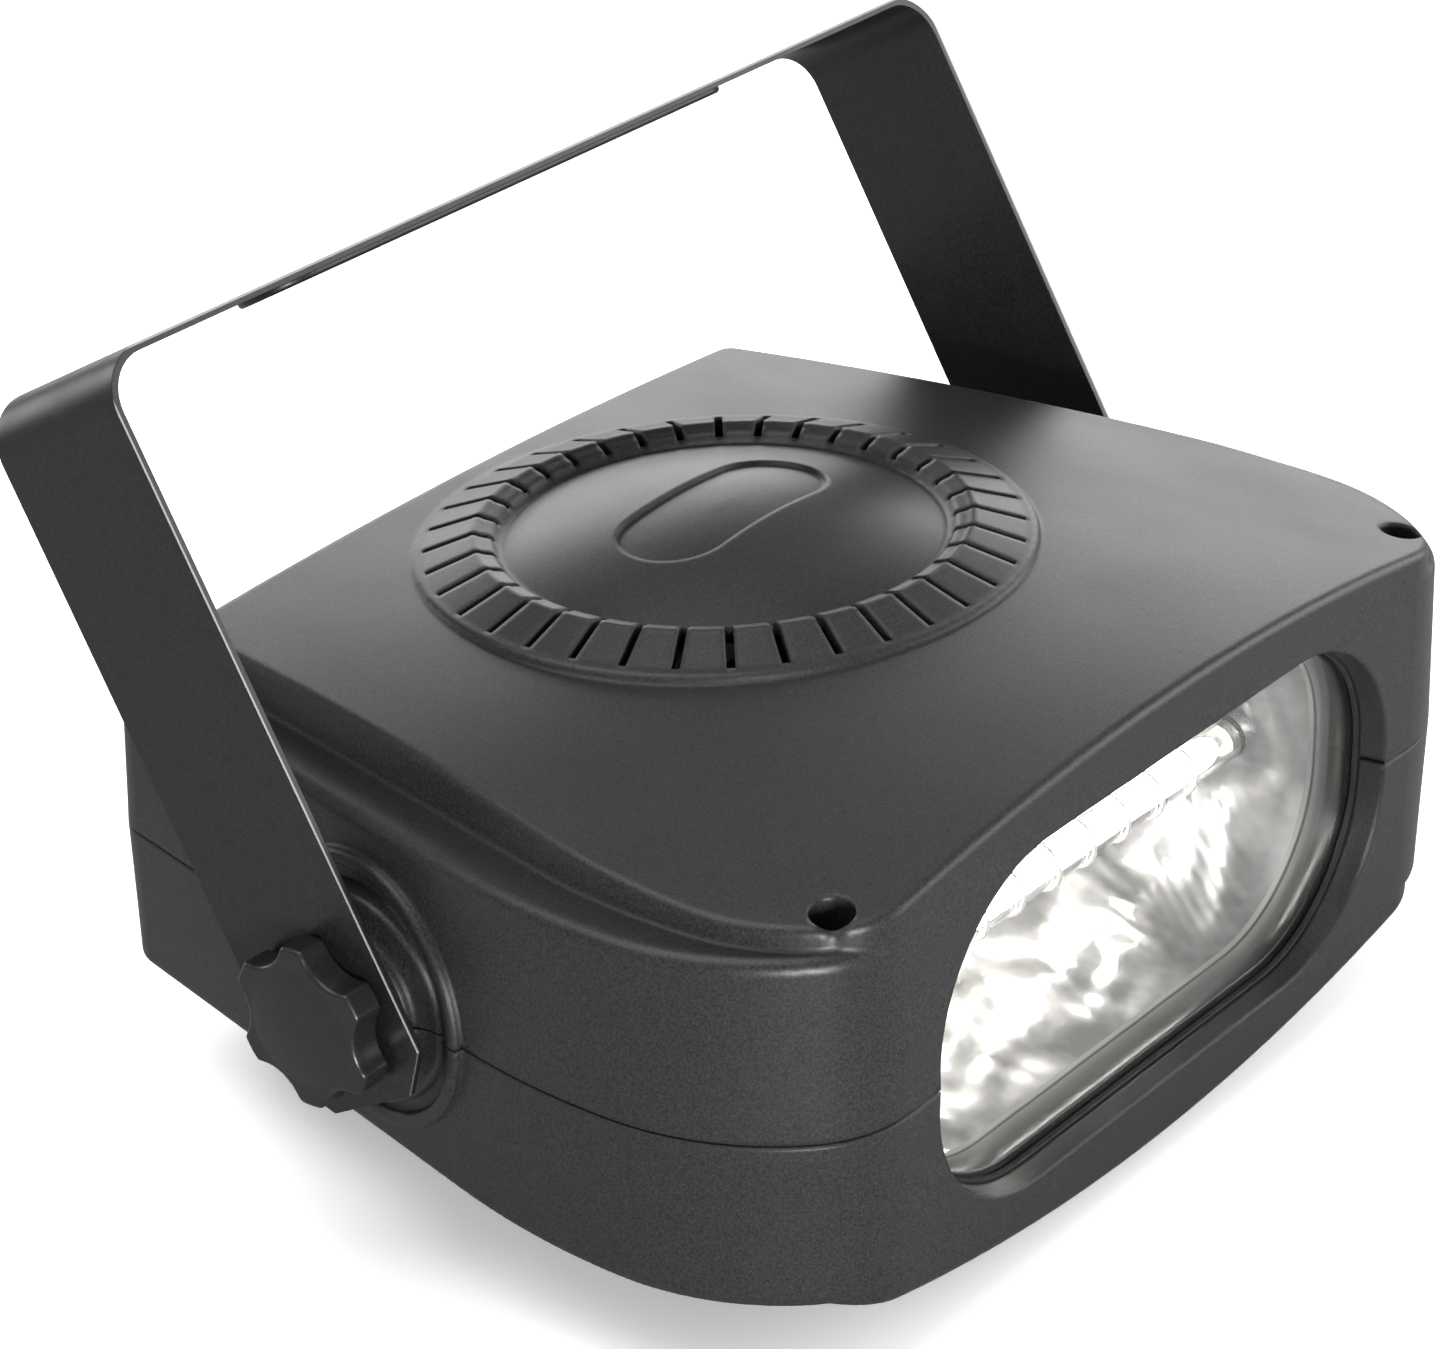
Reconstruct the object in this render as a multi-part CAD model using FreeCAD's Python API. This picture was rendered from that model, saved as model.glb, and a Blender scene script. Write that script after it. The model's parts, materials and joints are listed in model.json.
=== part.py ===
"""Xenon stroboscope: a clamshell lamp housing that tilts in a flat steel yoke bracket.

Millimetres. +X is the width, -Y the way the lamp shines, +Z up. The origin is on the surface that the
feet stand on, below the tilt axis. Each piece is built with the seam between the shells at z = 0 and the
tilt axis along X through y = 0, and moved up by SEAM_Z when it is written.
"""
import FreeCAD, Part
import math
import os
from FreeCAD import Vector

# ---- housing plan: front flat, then a chain of tangent arcs, a straight flank and a rear corner
FRONT_Y = 83.8            # front face to tilt axis
REAR_Y = 65.9             # rear wall to tilt axis
FRONT_FLAT = 68.2         # half width of the flat front face
CORNER_R = 20.6           # front corner, nearest the front face
CORNER_TURN = 45.0
CHEEK_R = 43.0            # cheek between front corner and flank
CHEEK_TURN = 40.0
FLANK_R = 117.0           # slow curve at the widest place
FLARE = 10.6              # the straight flank narrows to the rear by this angle
REAR_CORNER_R = 7.0
REAR_CORNER_MIN = 3.0     # where the outline is moved in
DRAFT = 1.5               # the walls lean in by this angle, away from the seam

# ---- housing height, from the seam to one side
SEAM_Z = 44.0             # seam above the resting surface
WALL = 2.5                # moulded wall
LEDGE_IN = 6.8            # from the wall to the riser of the plateau, at the flanks
LEDGE_IN_REAR = 5.2
LEDGE_IN_FRONT = 0.05     # at the front face it dies out to a witness line
LEDGE_ROUND = 2.0
RISER_DRAFT = 12.0        # the riser leans in by this angle
RISER_ROUND = 1.4
SEAM_LINE = 0.22          # height and depth of the groove along the seam, in each shell
SEAM_LINE_DEEP = 0.4
VENT_Y = 3.9              # vent centre behind the tilt axis


class Half:
    """Heights of one shell above the seam; the bottom shell's are mirrored when it is made."""

    def __init__(self, ledge, ledge_slope, crown, crown_slope, crown_r, front_r, rear_r, flatter):
        self.ledge = ledge              # ledge round the top edge of the wall, at the tilt axis
        self.ledge_slope = ledge_slope  # it rises towards the front
        self.crown = crown              # crown at the vent's centre
        self.crown_slope = crown_slope  # it falls towards the rear there
        self.crown_r = crown_r          # its curve from front to rear
        self.front_r = front_r          # its curve across, at the front face
        self.rear_r = rear_r            # and at the rear wall
        self.flatter = flatter          # curvature that it loses between them, 1/mm

    def height(self, y):
        """Crown on the middle line."""
        d = y - VENT_Y
        return self.crown - d * math.tan(math.radians(self.crown_slope)) - d * d / (2 * self.crown_r)

    def cross_r(self, y):
        """Radius of the crown across, at y."""
        share = (y + FRONT_Y) / (REAR_Y + FRONT_Y)
        ends = (1 - share) / self.front_r + share / self.rear_r
        return 1 / (ends - 4 * share * (1 - share) * self.flatter)


TOP = Half(28.4, 1.0, 38.8, 2.7, 1240.0, 440.0, 950.0, 0.00023)
BOTTOM = Half(26.9, 1.5, 39.6, 2.0, 1700.0, 300.0, 330.0, 0.0)
TONGUE_T = 1.0            # tongue of the top shell, inside the bottom shell's rebate
TONGUE_H = 2.0
FIT = 0.15                # clearance of moulded fits

# ---- vent ring and dome in the top shell; heights are from the plane of the slots' outer ends
VENT_H = 38.5             # that plane above the seam, at the vent's centre
VENT_TILT = 3.1           # the vent leans to the rear
SLOTS = 36
SLOT_W = 1.35
SLOT_R_OUT = 48.0
SLOT_R_IN = 36.6
FOOT_R = 49.9
FOOT_DROP = 2.4           # the foot's wall reaches this far down, into the crown
FOOT_ROUND = 0.7
CREST_R = 39.8
CREST_H = 2.75
LIP_R = 36.9              # foot of the ring's inner slope
LIP_H = 1.8
VALLEY_R = 35.4
VALLEY_H = 0.3
DOME_H = 6.4
VENT_WALL = 2.2
MARK_LENGTH = 42.0        # sunken obround mark on the dome
MARK_W = 18.5
MARK_DEPTH = 0.7

# ---- window and what sits in it
WINDOW_W = 120.6
WINDOW_H = 59.4
WINDOW_R = 27.0
WINDOW_DRAFT = 1.0        # the opening is this much smaller at the lens
LENS_SET = 5.4            # lens behind the front face
LENS_T = 2.0
GASKET_T = 0.8
FRAME_T = 3.0
GROOVE = 1.6              # depth of the groove that holds lens and gasket
LIP_T = 5.0               # lip behind the groove
GASKET_SHOWS = 0.3        # the gasket's front lip stands this far into the window
SEAM_RELIEF = 0.7         # height of the relief where the seam meets the window
SEAM_RELIEF_DEEP = 1.5

# ---- tilt pivot
PIVOT_RING_R = 22.2
PIVOT_RING_RISE = 1.3
PIVOT_RING_W = 2.4
PIVOT_SHOULDER_R = 17.6
PIVOT_STEP = 2.2          # pad above the shoulder
PIVOT_STEP_ROUND = 0.8
PIVOT_PAD_R = 13.0
PIVOT_PAD_X = 95.8        # outer face of the boss from the middle
STUD_R = 3.0
RUN = 0.05                # radial clearance of running fits
STUD_LENGTH = 24.0
INSERT_T = 5.0
INSERT_AF = 10.0
INSERT_X = 78.0           # inner face of the nut

# ---- bracket
STRAP_W = 30.0
STRAP_T = 1.2
STRAP_X = 98.85           # outer face of the arms from the middle
BAR_REACH = 101.0         # outer face of the bar from the tilt axis
ARM_TAIL = 15.4           # arm past the tilt axis
ARM_CLIP = 6.0
BEND_R = 8.5
TILT = 31.2               # rest angle, from upright to the rear
PRESS_LENGTH = 110.0
PRESS_W = 16.0
PRESS_DEPTH = 0.9
HANG_HOLE_R = 5.25
SIDE_HOLE_R = 3.25
SIDE_HOLE_PITCH = 72.0
BRACKET_GAP = 0.1         # bracket to friction washer, and to knob washer

# ---- clamp knob
KNOB_WASHER_T = 0.8
KNOB_WASHER_R = 8.0
KNOB_T = 6.2
KNOB_R = 13.2
KNOB_LOBES = 6
KNOB_SCALLOP_R = 7.0
KNOB_WAIST_R = 10.6
KNOB_PHASE = 24.5
KNOB_DOME = 0.4

# ---- rear panel
PANEL_W = 110.0
PANEL_H = 36.0
PANEL_T = 2.0
PANEL_OPEN_W = 104.0
PANEL_OPEN_H = 30.0
PANEL_HOLD = 2.5          # width of the channels that hold it
RATE_X = 21.0 - PANEL_W / 2
FUSE_X = 2.0
GLAND_X = PANEL_W / 2 - 19.0
RATE_KNOB_R = 11.0
RATE_KNOB_TOP = 83.8      # face of the knob behind the tilt axis
RATE_KNOB_GAP = 1.2
SHAFT_R = 3.0
PANEL_HOLE_FIT = 0.1      # radial clearance of the holes in the panel
PANEL_CORNER_R = 1.0
RATE_CAN_R = 8.25
RATE_CAN_L = 9.0
RATE_BUSH_R = 3.5
RATE_BUSH_L = 5.0         # bushing in front of the panel's back
RATE_TAG_PITCH = 5.0
RATE_TAG_T = 0.8
RATE_NUT_AF = 10.0
RATE_NUT_T = 2.2
RATE_SKIRT = 4.0          # skirt of the knob, below its flutes
RATE_FLUTES = 12
RATE_FLUTE_R = 1.6
FUSE_BODY_R = 6.0
FUSE_BODY_L = 28.0
FUSE_BORE_R = 4.2
FUSE_FLANGE_R = 8.0
FUSE_FLANGE_T = 1.8
FUSE_TAG_L = 6.0
FUSE_NUT_AF = 15.0
NUT_T = 3.0               # flat nuts of the fuse holder and the gland
FUSE_CAP_R = 6.8
FUSE_CAP_L = 7.0
FUSE_R = 2.6
FUSE_L = 20.0
GLAND_BORE_R = 3.4
GLAND_THREAD_R = 6.0
GLAND_THREAD_L = 18.0
GLAND_COLLAR_AF = 17.0
GLAND_COLLAR_T = 4.0
GLAND_NUT_AF = 16.0
GLAND_SEAT_R = 5.0
GLAND_SEAL_L = 7.0
GLAND_NUT_GAP = 0.2       # between collar and dome nut
GLAND_DOME_L = 4.4

# ---- inside
BOARD_W = 124.0
BOARD_L = 60.0
BOARD_T = 1.6
BOARD_Z = -25.0
BOARD_Y = 15.0
SPACER_R = 3.6
SPACER_X = 55.0
SPACER_Y = 25.0
BOARD_SCREW_R = 1.45
BOARD_SCREW_DEPTH = 5.0   # thread in the post
BOARD_HEAD_R = 2.7
BOARD_HEAD_T = 1.8
CAP_R = 12.5
CAP_H = 38.0
CAP_X = (-38.0, -10.0)
CAP_Y = BOARD_Y + 3.0
CAP_ROUND = 1.2
TRANSFORMER_X = 46.0
TRANSFORMER_Y = BOARD_Y - 14.0
TRANSFORMER_W = 16.0
TRANSFORMER_COIL_R = 6.5
TRANSFORMER_COIL_H = 12.0
TRANSFORMER_FLANGE = 2.0
RESISTOR_X = 6.0          # its left end
RESISTOR_Y = BOARD_Y + 24.0
RESISTOR_L = 46.0
RESISTOR_W = 9.0
RESISTOR_LIFT = 4.0       # stands this far off the board
RESISTOR_LEG_IN = 5.0
SINK_X = 20.0
SINK_Y = BOARD_Y - 8.0
SINK_W = 22.0
SINK_H = 22.0
SINK_BASE_T = 2.4
SINK_FIN_T = 1.2
SINK_FIN_L = 8.0
SINK_FIN_PITCH = 5.0
DEVICE_W = 10.0
DEVICE_LIFT = 5.0
DEVICE_TAB_T = 1.3
DEVICE_TAB_H = 15.0
DEVICE_T = 4.4
DEVICE_H = 8.5
DEVICE_LEG_PITCH = 2.5
TERMINAL_X = 40.0
TERMINAL_Y = BOARD_Y + 12.0
TERMINAL_W = 24.0
TERMINAL_L = 10.0
TERMINAL_H = 10.0
TERMINAL_PITCH = 8.0
TERMINAL_SCREW_R = 2.2
TERMINAL_ENTRY_R = 1.8
TUBE_R = 3.75
TUBE_WALL = 0.9
TUBE_LENGTH = 106.0
TUBE_Y = -57.0
SEAL_L = 3.0              # where the electrode is sealed into the glass
ELECTRODE_REACH = 10.0    # electrode tip behind the end of the glass
PIN_R = 0.8
TIP_R = 1.6
TIP_L = 3.0
TRIGGER_R = 0.3
TRIGGER_LOOPS = 9
HOLDER_W = 8.0
HOLDER_L = 14.0
HOLDER_H = 16.0
HOLDER_GAP = 10.0         # from the end of the quartz to its holder
HOLDER_MOUTH = 4.8        # the open top that the end cap is pressed through
LEAD_R = 1.0
LEAD_OUT = 3.0            # past the end cap, before it bends
LEAD_IN = 28.0            # along the board's edge, towards the middle
LEAD_BEND = 5.0
LEAD_DROP = 4.0           # straight end above the board
REFLECTOR_T = 0.8
REFLECTOR_DEPTH = 38.0
REFLECTOR_RIM = 1.6       # rim inside the window's edge

# ---- case screws, feet
WELL_R = 3.4
WELL_WALL = 2.0
WELL_FLOOR = 14.0
CASE_SCREW_R = 1.45
CASE_SCREW_HEAD_R = 2.8
FRONT_SCREW = (75.1, -75.4)
REAR_SCREW = (66.0, 51.0)
FOOT_R_OUT = 8.0
FOOT_T = 3.0
FOOT_SEAT = 1.2
FOOT_FRONT = (56.0, -58.0)
FOOT_REAR = (56.0, 42.0)

UP = Vector(0, 0, 1)
ALONG_X = Vector(1, 0, 0)
ALONG_Y = Vector(0, 1, 0)


# ---------------------------------------------------------------- plain helpers
def block(x0, x1, y0, y1, z0, z1):
    """Box between two corners."""
    return Part.makeBox(x1 - x0, y1 - y0, z1 - z0, Vector(x0, y0, z0))


def rod(radius, length, start, axis=UP):
    """Cylinder of the given length from start along axis."""
    return Part.makeCylinder(radius, length, start, axis)


def ring(outer, inner, length, start, axis=UP):
    """Tube of the given length from start along axis."""
    return rod(outer, length, start, axis).cut(rod(inner, length, start, axis))


def prism(wire, vector):
    """Solid swept straight from a flat closed wire."""
    return Part.Face(wire).extrude(vector)


def mirrored_x(shape):
    """The same piece on the other side of the housing."""
    return shape.mirror(Vector(0, 0, 0), ALONG_X)


def mirrored_z(shape):
    """The same form below the seam."""
    return shape.mirror(Vector(0, 0, 0), UP)


def hexagon(across_flats, thickness, centre, axis):
    """Hexagonal prism from centre along axis."""
    r = across_flats / math.sqrt(3)
    turns = [math.radians(60 * i) for i in range(6)]
    points = [Vector(r * math.cos(a), r * math.sin(a), 0) for a in turns]
    solid = prism(Part.makePolygon(points + points[:1]), Vector(0, 0, thickness))
    solid.Placement = FreeCAD.Placement(centre, FreeCAD.Rotation(UP, axis))
    return solid


def rounded_rectangle(width, height, radius, y):
    """Closed wire in the plane at y, centred on the seam, with round corners."""
    w, h = width / 2, height / 2
    c = radius * (1 - math.sqrt(0.5))
    corners = [(w, h, 1, 1), (-w, h, -1, 1), (-w, -h, -1, -1), (w, -h, 1, -1)]
    edges = []
    last = Vector(w, y, -h + radius)
    for x, z, sx, sz in corners:
        side = Vector(x, y, z - sz * radius)
        flat = Vector(x - sx * radius, y, z)
        first, second = (side, flat) if sx * sz > 0 else (flat, side)
        if (first - last).Length > 1e-6:
            edges.append(Part.LineSegment(last, first).toShape())
        middle = Vector(x - sx * c, y, z - sz * c)
        edges.append(Part.Arc(first, middle, second).toShape())
        last = second
    start = edges[0].Vertexes[0].Point
    if (last - start).Length > 1e-6:
        edges.append(Part.LineSegment(last, start).toShape())
    return Part.Wire(edges)


def obround(length, width, z):
    """Closed wire in the plane at z: a slot shape with its long axis along X."""
    a, r = (length - width) / 2, width / 2
    top = Part.LineSegment(Vector(a, r, z), Vector(-a, r, z)).toShape()
    left = Part.Arc(Vector(-a, r, z), Vector(-a - r, 0, z), Vector(-a, -r, z)).toShape()
    bottom = Part.LineSegment(Vector(-a, -r, z), Vector(a, -r, z)).toShape()
    right = Part.Arc(Vector(a, -r, z), Vector(a + r, 0, z), Vector(a, r, z)).toShape()
    return Part.Wire([top, left, bottom, right])


# ---------------------------------------------------------------- housing form
def tangent_chain(start, heading, steps):
    """Edges from start, each tangent to the last: ("line", length) or ("arc", radius, turn to the left)."""
    edges = []
    p, a = start, math.radians(heading)
    for step in steps:
        if step[0] == "line":
            q = p + Vector(math.cos(a), math.sin(a), 0) * step[1]
            edges.append(Part.LineSegment(p, q).toShape())
        else:
            radius, turn = step[1], math.radians(step[2])
            centre = p + Vector(-math.sin(a), math.cos(a), 0) * radius
            mid = centre + Vector(math.sin(a + turn / 2), -math.cos(a + turn / 2), 0) * radius
            q = centre + Vector(math.sin(a + turn), -math.cos(a + turn), 0) * radius
            edges.append(Part.Arc(p, mid, q).toShape())
            a += turn
        p = q
    return edges, p


def plan(side, front, rear, z):
    """Outline of the housing at height z, moved out on the flanks, at the front and at the rear."""
    flank_heading = 90 + FLARE
    flank_turn = flank_heading - CORNER_TURN - CHEEK_TURN
    rear_turn = 180 - flank_heading
    right = [("arc", CORNER_R + side, CORNER_TURN), ("arc", CHEEK_R + side, CHEEK_TURN),
             ("arc", FLANK_R + side, flank_turn)]
    start = Vector(FRONT_FLAT, -FRONT_Y - front, z)
    p = tangent_chain(start, 0, right)[1]
    rear_r = max(REAR_CORNER_R + rear, REAR_CORNER_MIN)
    tangent = rear_r * math.tan(math.radians(rear_turn / 2))
    flank = (REAR_Y + rear - p.y) / math.sin(math.radians(flank_heading)) - tangent
    right += [("line", flank), ("arc", rear_r, rear_turn)]
    p = tangent_chain(start, 0, right)[1]
    rear_wall = [("line", 2 * p.x)]
    front_face = [("line", 2 * FRONT_FLAT)]
    return Part.Wire(tangent_chain(start, 0, right + rear_wall + right[::-1] + front_face)[0])


def walls(side, front, rear, height):
    """Drafted block over the outline, from the seam up."""
    lean = height * math.tan(math.radians(DRAFT))
    lower = plan(side, front, rear, 0)
    upper = plan(side - lean, front - lean, rear - lean, height)
    return Part.makeLoft([lower, upper], True, True)


def plateau(half, inset):
    """Block that the crown tops off, from below the ledge up, with its riser leaning in."""
    foot, top = half.ledge - 2 * WALL, half.crown * 1.2
    settled = foot * math.tan(math.radians(DRAFT)) + inset
    lean = (top - foot) * math.tan(math.radians(RISER_DRAFT))
    front_lean = (top - foot) * math.tan(math.radians(DRAFT))
    side, front, rear = -settled - LEDGE_IN, -settled - LEDGE_IN_FRONT, -settled - LEDGE_IN_REAR
    lower = plan(side, front, rear, foot)
    upper = plan(side - lean, front - front_lean, rear - lean, top)
    return Part.makeLoft([lower, upper], True, True)


def seam_line():
    """Narrow groove round the outside, above the seam."""
    rise = Vector(0, 0, SEAM_LINE)
    outer = prism(plan(2 * WALL, 2 * WALL, 2 * WALL, 0), rise)
    return outer.cut(prism(plan(-SEAM_LINE_DEEP, -SEAM_LINE_DEEP, -SEAM_LINE_DEEP, 0), rise))


def vent_frame():
    """Placement at the vent's centre, in the plane of the slots' outer ends."""
    return FreeCAD.Placement(Vector(0, VENT_Y, VENT_H), FreeCAD.Rotation(ALONG_X, -VENT_TILT))


def below_crown(half, inset):
    """Everything under the crown, lowered by inset."""
    reach = 1.4 * FRONT_Y
    sections = []
    for y in (-1.2 * FRONT_Y, VENT_Y, 1.2 * REAR_Y):
        top = half.height(y) - inset
        side = top - (half.cross_r(y) - math.sqrt(half.cross_r(y) ** 2 - reach ** 2))
        left, right = Vector(-reach, y, side), Vector(reach, y, side)
        left_foot, right_foot = Vector(-reach, y, -WALL), Vector(reach, y, -WALL)
        edges = [Part.Arc(left, Vector(0, y, top), right).toShape(),
                 Part.LineSegment(right, right_foot).toShape(),
                 Part.LineSegment(right_foot, left_foot).toShape(),
                 Part.LineSegment(left_foot, left).toShape()]
        sections.append(Part.Wire(edges))
    return Part.makeLoft(sections, True, False)


def below_ledge(half, inset):
    """Everything under the plane of the ledge, lowered by inset."""
    reach = 4 * REAR_Y
    slab = block(-reach, reach, -reach, reach, -reach, half.ledge - inset)
    slab.rotate(Vector(0, 0, half.ledge), ALONG_X, -half.ledge_slope)
    return slab


def rounded_top(solid, height, radius):
    """The solid with the closed loop of edges round its top, above height, rounded."""
    top = max(solid.Faces, key=lambda f: f.CenterOfMass.z)
    edges = [e for e in top.Edges if min(v.Point.z for v in e.Vertexes) > height]
    return solid.makeFillet(radius, edges)


def cover_form(half, inset, rounded):
    """Outer form of a shell above the seam, moved in by inset, with its ledge and plateau."""
    lower = walls(-inset, -inset, -inset, half.ledge * 1.3).common(below_ledge(half, inset))
    upper = plateau(half, inset).common(below_crown(half, inset))
    if rounded:
        lower = rounded_top(lower, half.ledge / 2, LEDGE_ROUND)
        upper = rounded_top(upper, half.ledge / 2, RISER_ROUND)
    return lower.fuse(upper)


def moulded_shell(half):
    """Hollow half of the housing above the seam, before its own features."""
    return cover_form(half, 0, True).cut(cover_form(half, WALL, False))


# ---------------------------------------------------------------- features of the shells
def window_wire(grow, depth):
    """Outline of the window, grown all round, at a depth behind the front face."""
    return rounded_rectangle(WINDOW_W + 2 * grow, WINDOW_H + 2 * grow, WINDOW_R + grow, depth - FRONT_Y)


def window_prism(grow, start, end):
    """Block with the window's outline between two depths behind the front face."""
    return prism(window_wire(grow, start), Vector(0, end - start, 0))


LENS_BACK = LENS_SET + LENS_T + GASKET_T
FRAME_BACK = LENS_BACK + LIP_T


def window_frame():
    """Deep frame round the window with the groove for lens and gasket, both halves."""
    frame = window_prism(FRAME_T, 0.4, FRAME_BACK)
    groove = window_prism(GROOVE - WINDOW_DRAFT, LENS_SET - GASKET_T, LENS_BACK)
    back = window_prism(-WINDOW_DRAFT, LENS_BACK, FRAME_BACK)
    return frame.cut(groove).cut(back)


def window_opening():
    """What is open in front of the lens: a shallow funnel through the front wall."""
    return Part.makeLoft([window_wire(0.2, -1), window_wire(-WINDOW_DRAFT, LENS_SET)], True, True)


def seam_reliefs():
    """Small steps in the top shell where the seam meets the window's ends."""
    x = WINDOW_W / 2 + SEAM_RELIEF_DEEP
    right = block(WINDOW_W / 2 - WALL, x, -FRONT_Y + FIT, -FRONT_Y + LENS_SET - GASKET_T, 0, SEAM_RELIEF)
    return right.fuse(mirrored_x(right))


def pivot_bell():
    """Boss that carries the bracket: a pad on a flared neck, and a rounded shoulder, right side."""
    step = PIVOT_PAD_X - PIVOT_STEP
    edge_r = PIVOT_SHOULDER_R - PIVOT_STEP_ROUND
    root, tip = Vector(INSERT_X, 0, 0), Vector(PIVOT_PAD_X, 0, 0)
    pad_rim, neck = Vector(PIVOT_PAD_X, PIVOT_PAD_R, 0), Vector(step + PIVOT_STEP / 3, PIVOT_PAD_R, 0)
    flare = Vector(step + PIVOT_STEP / 12, (2 * PIVOT_PAD_R + edge_r) / 3, 0)
    shoulder = Vector(step, edge_r, 0)
    c = PIVOT_STEP_ROUND * math.sqrt(0.5)
    rounded = Vector(step - PIVOT_STEP_ROUND + c, edge_r + c, 0)
    side = Vector(step - PIVOT_STEP_ROUND, PIVOT_SHOULDER_R, 0)
    foot = Vector(INSERT_X, PIVOT_SHOULDER_R, 0)
    edges = [Part.LineSegment(root, tip), Part.LineSegment(tip, pad_rim), Part.LineSegment(pad_rim, neck),
             Part.Arc(neck, flare, shoulder), Part.Arc(shoulder, rounded, side), Part.LineSegment(side, foot),
             Part.LineSegment(foot, root)]
    return Part.Face(Part.Wire([e.toShape() for e in edges])).revolve(Vector(0, 0, 0), ALONG_X, 360)


def pivot_boss_outside():
    """Raised ring that follows the flank, and the boss that carries the bracket inside it, right side."""
    flank = walls(PIVOT_RING_RISE, 0, 0, TOP.ledge)
    flank = flank.fuse(mirrored_z(flank))
    inner_r = PIVOT_RING_R - PIVOT_RING_W
    band = ring(PIVOT_RING_R, inner_r, PIVOT_PAD_X, Vector(INSERT_X, 0, 0), ALONG_X).common(flank)
    outer_rims = edges_at_radius(band, PIVOT_RING_R, PIVOT_PAD_X - 3 * WALL)
    inner_rims = edges_at_radius(band, inner_r, PIVOT_PAD_X - 3 * WALL)
    band = band.makeFillet(PIVOT_RING_RISE / 2, outer_rims + inner_rims)
    return band.fuse(pivot_bell())


def edges_at_radius(shape, radius, beyond):
    """Edges that lie at a radius from the tilt axis, further out than beyond."""
    found = []
    for edge in shape.Edges:
        middle = edge.valueAt((edge.FirstParameter + edge.LastParameter) / 2)
        points = [middle] + [v.Point for v in edge.Vertexes]
        if middle.x > beyond and all(abs(math.hypot(p.y, p.z) - radius) < FIT for p in points):
            found.append(edge)
    return found


def pivot_boss_inside():
    """Cylinder inside the housing that holds the nut between the shells, right side."""
    inner = INSERT_X - 4
    return rod(INSERT_AF, PIVOT_PAD_X - inner - 6, Vector(inner, 0, 0), ALONG_X)


def pivot_hollows():
    """Bore for the stud and pocket for the nut, right side."""
    reach = PIVOT_PAD_X - INSERT_X + 6
    bore = rod(STUD_R + FIT, reach, Vector(INSERT_X - 5, 0, 0), ALONG_X)
    pocket = hexagon(INSERT_AF + 2 * FIT, INSERT_T + 2 * FIT, Vector(INSERT_X - FIT, 0, 0), ALONG_X)
    return bore.fuse(pocket)


def screw_well(place):
    """Tube of a head side screw post, from the crown down to the seam."""
    x, y = place
    return rod(WELL_R + WELL_WALL, TOP.crown, Vector(x, y, 0))


def screw_well_hollow(place):
    """Well for the head and clearance hole for the shank."""
    x, y = place
    well = rod(WELL_R, TOP.crown, Vector(x, y, WELL_FLOOR))
    return well.fuse(rod(CASE_SCREW_R + FIT, WELL_FLOOR, Vector(x, y, 0)))


def screw_post(place):
    """Post that takes the thread, from the seam down to the opposite shell's floor."""
    x, y = place
    return rod(WELL_R + WELL_WALL - 1, TOP.crown, Vector(x, y, -TOP.crown))


def screw_post_hollow(place):
    """Pilot hole in the post."""
    x, y = place
    return rod(CASE_SCREW_R + RUN, WELL_FLOOR, Vector(x, y, -WELL_FLOOR))


def both_sides(make, place):
    """A feature at a place and at its mirror image."""
    x, y = place
    return [make((x, y)), make((-x, y))]


def panel_channels():
    """Channels that hold the rear panel's ends, right and left, over both shells."""
    outer = REAR_Y - WALL
    back = outer - PANEL_T - FIT
    x = PANEL_W / 2 + FIT
    side = block(x, x + PANEL_HOLD, back - PANEL_HOLD, outer + 1, -PANEL_H / 2, PANEL_H / 2)
    lip = block(x - PANEL_HOLD, x, back - PANEL_HOLD, back, -PANEL_H / 2, PANEL_H / 2)
    right = side.fuse(lip)
    return right.fuse(mirrored_x(right))


def panel_opening():
    """Opening of the rear wall, and the seat behind it."""
    wire = rounded_rectangle(PANEL_OPEN_W, PANEL_OPEN_H, 3.0, REAR_Y - 2 * WALL)
    seat_w, seat_h = PANEL_W + 2 * FIT, PANEL_H + 2 * FIT
    front, rear = REAR_Y - WALL - PANEL_T - FIT, REAR_Y - WALL
    seat = block(-seat_w / 2, seat_w / 2, front, rear, -seat_h / 2, seat_h / 2)
    return prism(wire, Vector(0, 4 * WALL, 0)).fuse(seat)


def reflector_ribs(up):
    """Two ribs that hold the reflector's flange against the frame; up is 1 for the top shell, -1 below."""
    front = FRAME_BACK - FRONT_Y + REFLECTOR_T + FIT
    near = WINDOW_H / 2
    ribs = []
    for x in (-22.0, 22.0):
        low, high = sorted((up * near, up * TOP.crown))
        ribs.append(block(x - 1, x + 1, front, front + 6, low, high))
    return ribs


def tongue(grow):
    """Ring that stands below the seam, in the middle of the wall; grow is added to both its faces."""
    deep = TONGUE_H + grow
    middle = -WALL / 2 - 0.1
    out, inn = middle + TONGUE_T / 2 + grow, middle - TONGUE_T / 2 - grow
    outer = prism(plan(out, out, out, -deep), Vector(0, 0, deep))
    return outer.cut(prism(plan(inn, inn, inn, -deep), Vector(0, 0, deep)))


def tongue_gaps():
    """Where the tongue stops: at the window, the rear panel and the pivots."""
    window = block(-WINDOW_W / 2 - 5, WINDOW_W / 2 + 5, -FRONT_Y - 1, -FRONT_Y + 12, -5, 5)
    panel = block(-PANEL_W / 2 - 4, PANEL_W / 2 + 4, REAR_Y - 8, REAR_Y + 1, -5, 5)
    reach = PIVOT_RING_R - PIVOT_RING_W
    pivot = block(INSERT_X - 6, PIVOT_PAD_X, -reach, reach, -5, 5)
    return window.fuse(panel).fuse(pivot).fuse(mirrored_x(pivot))


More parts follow.
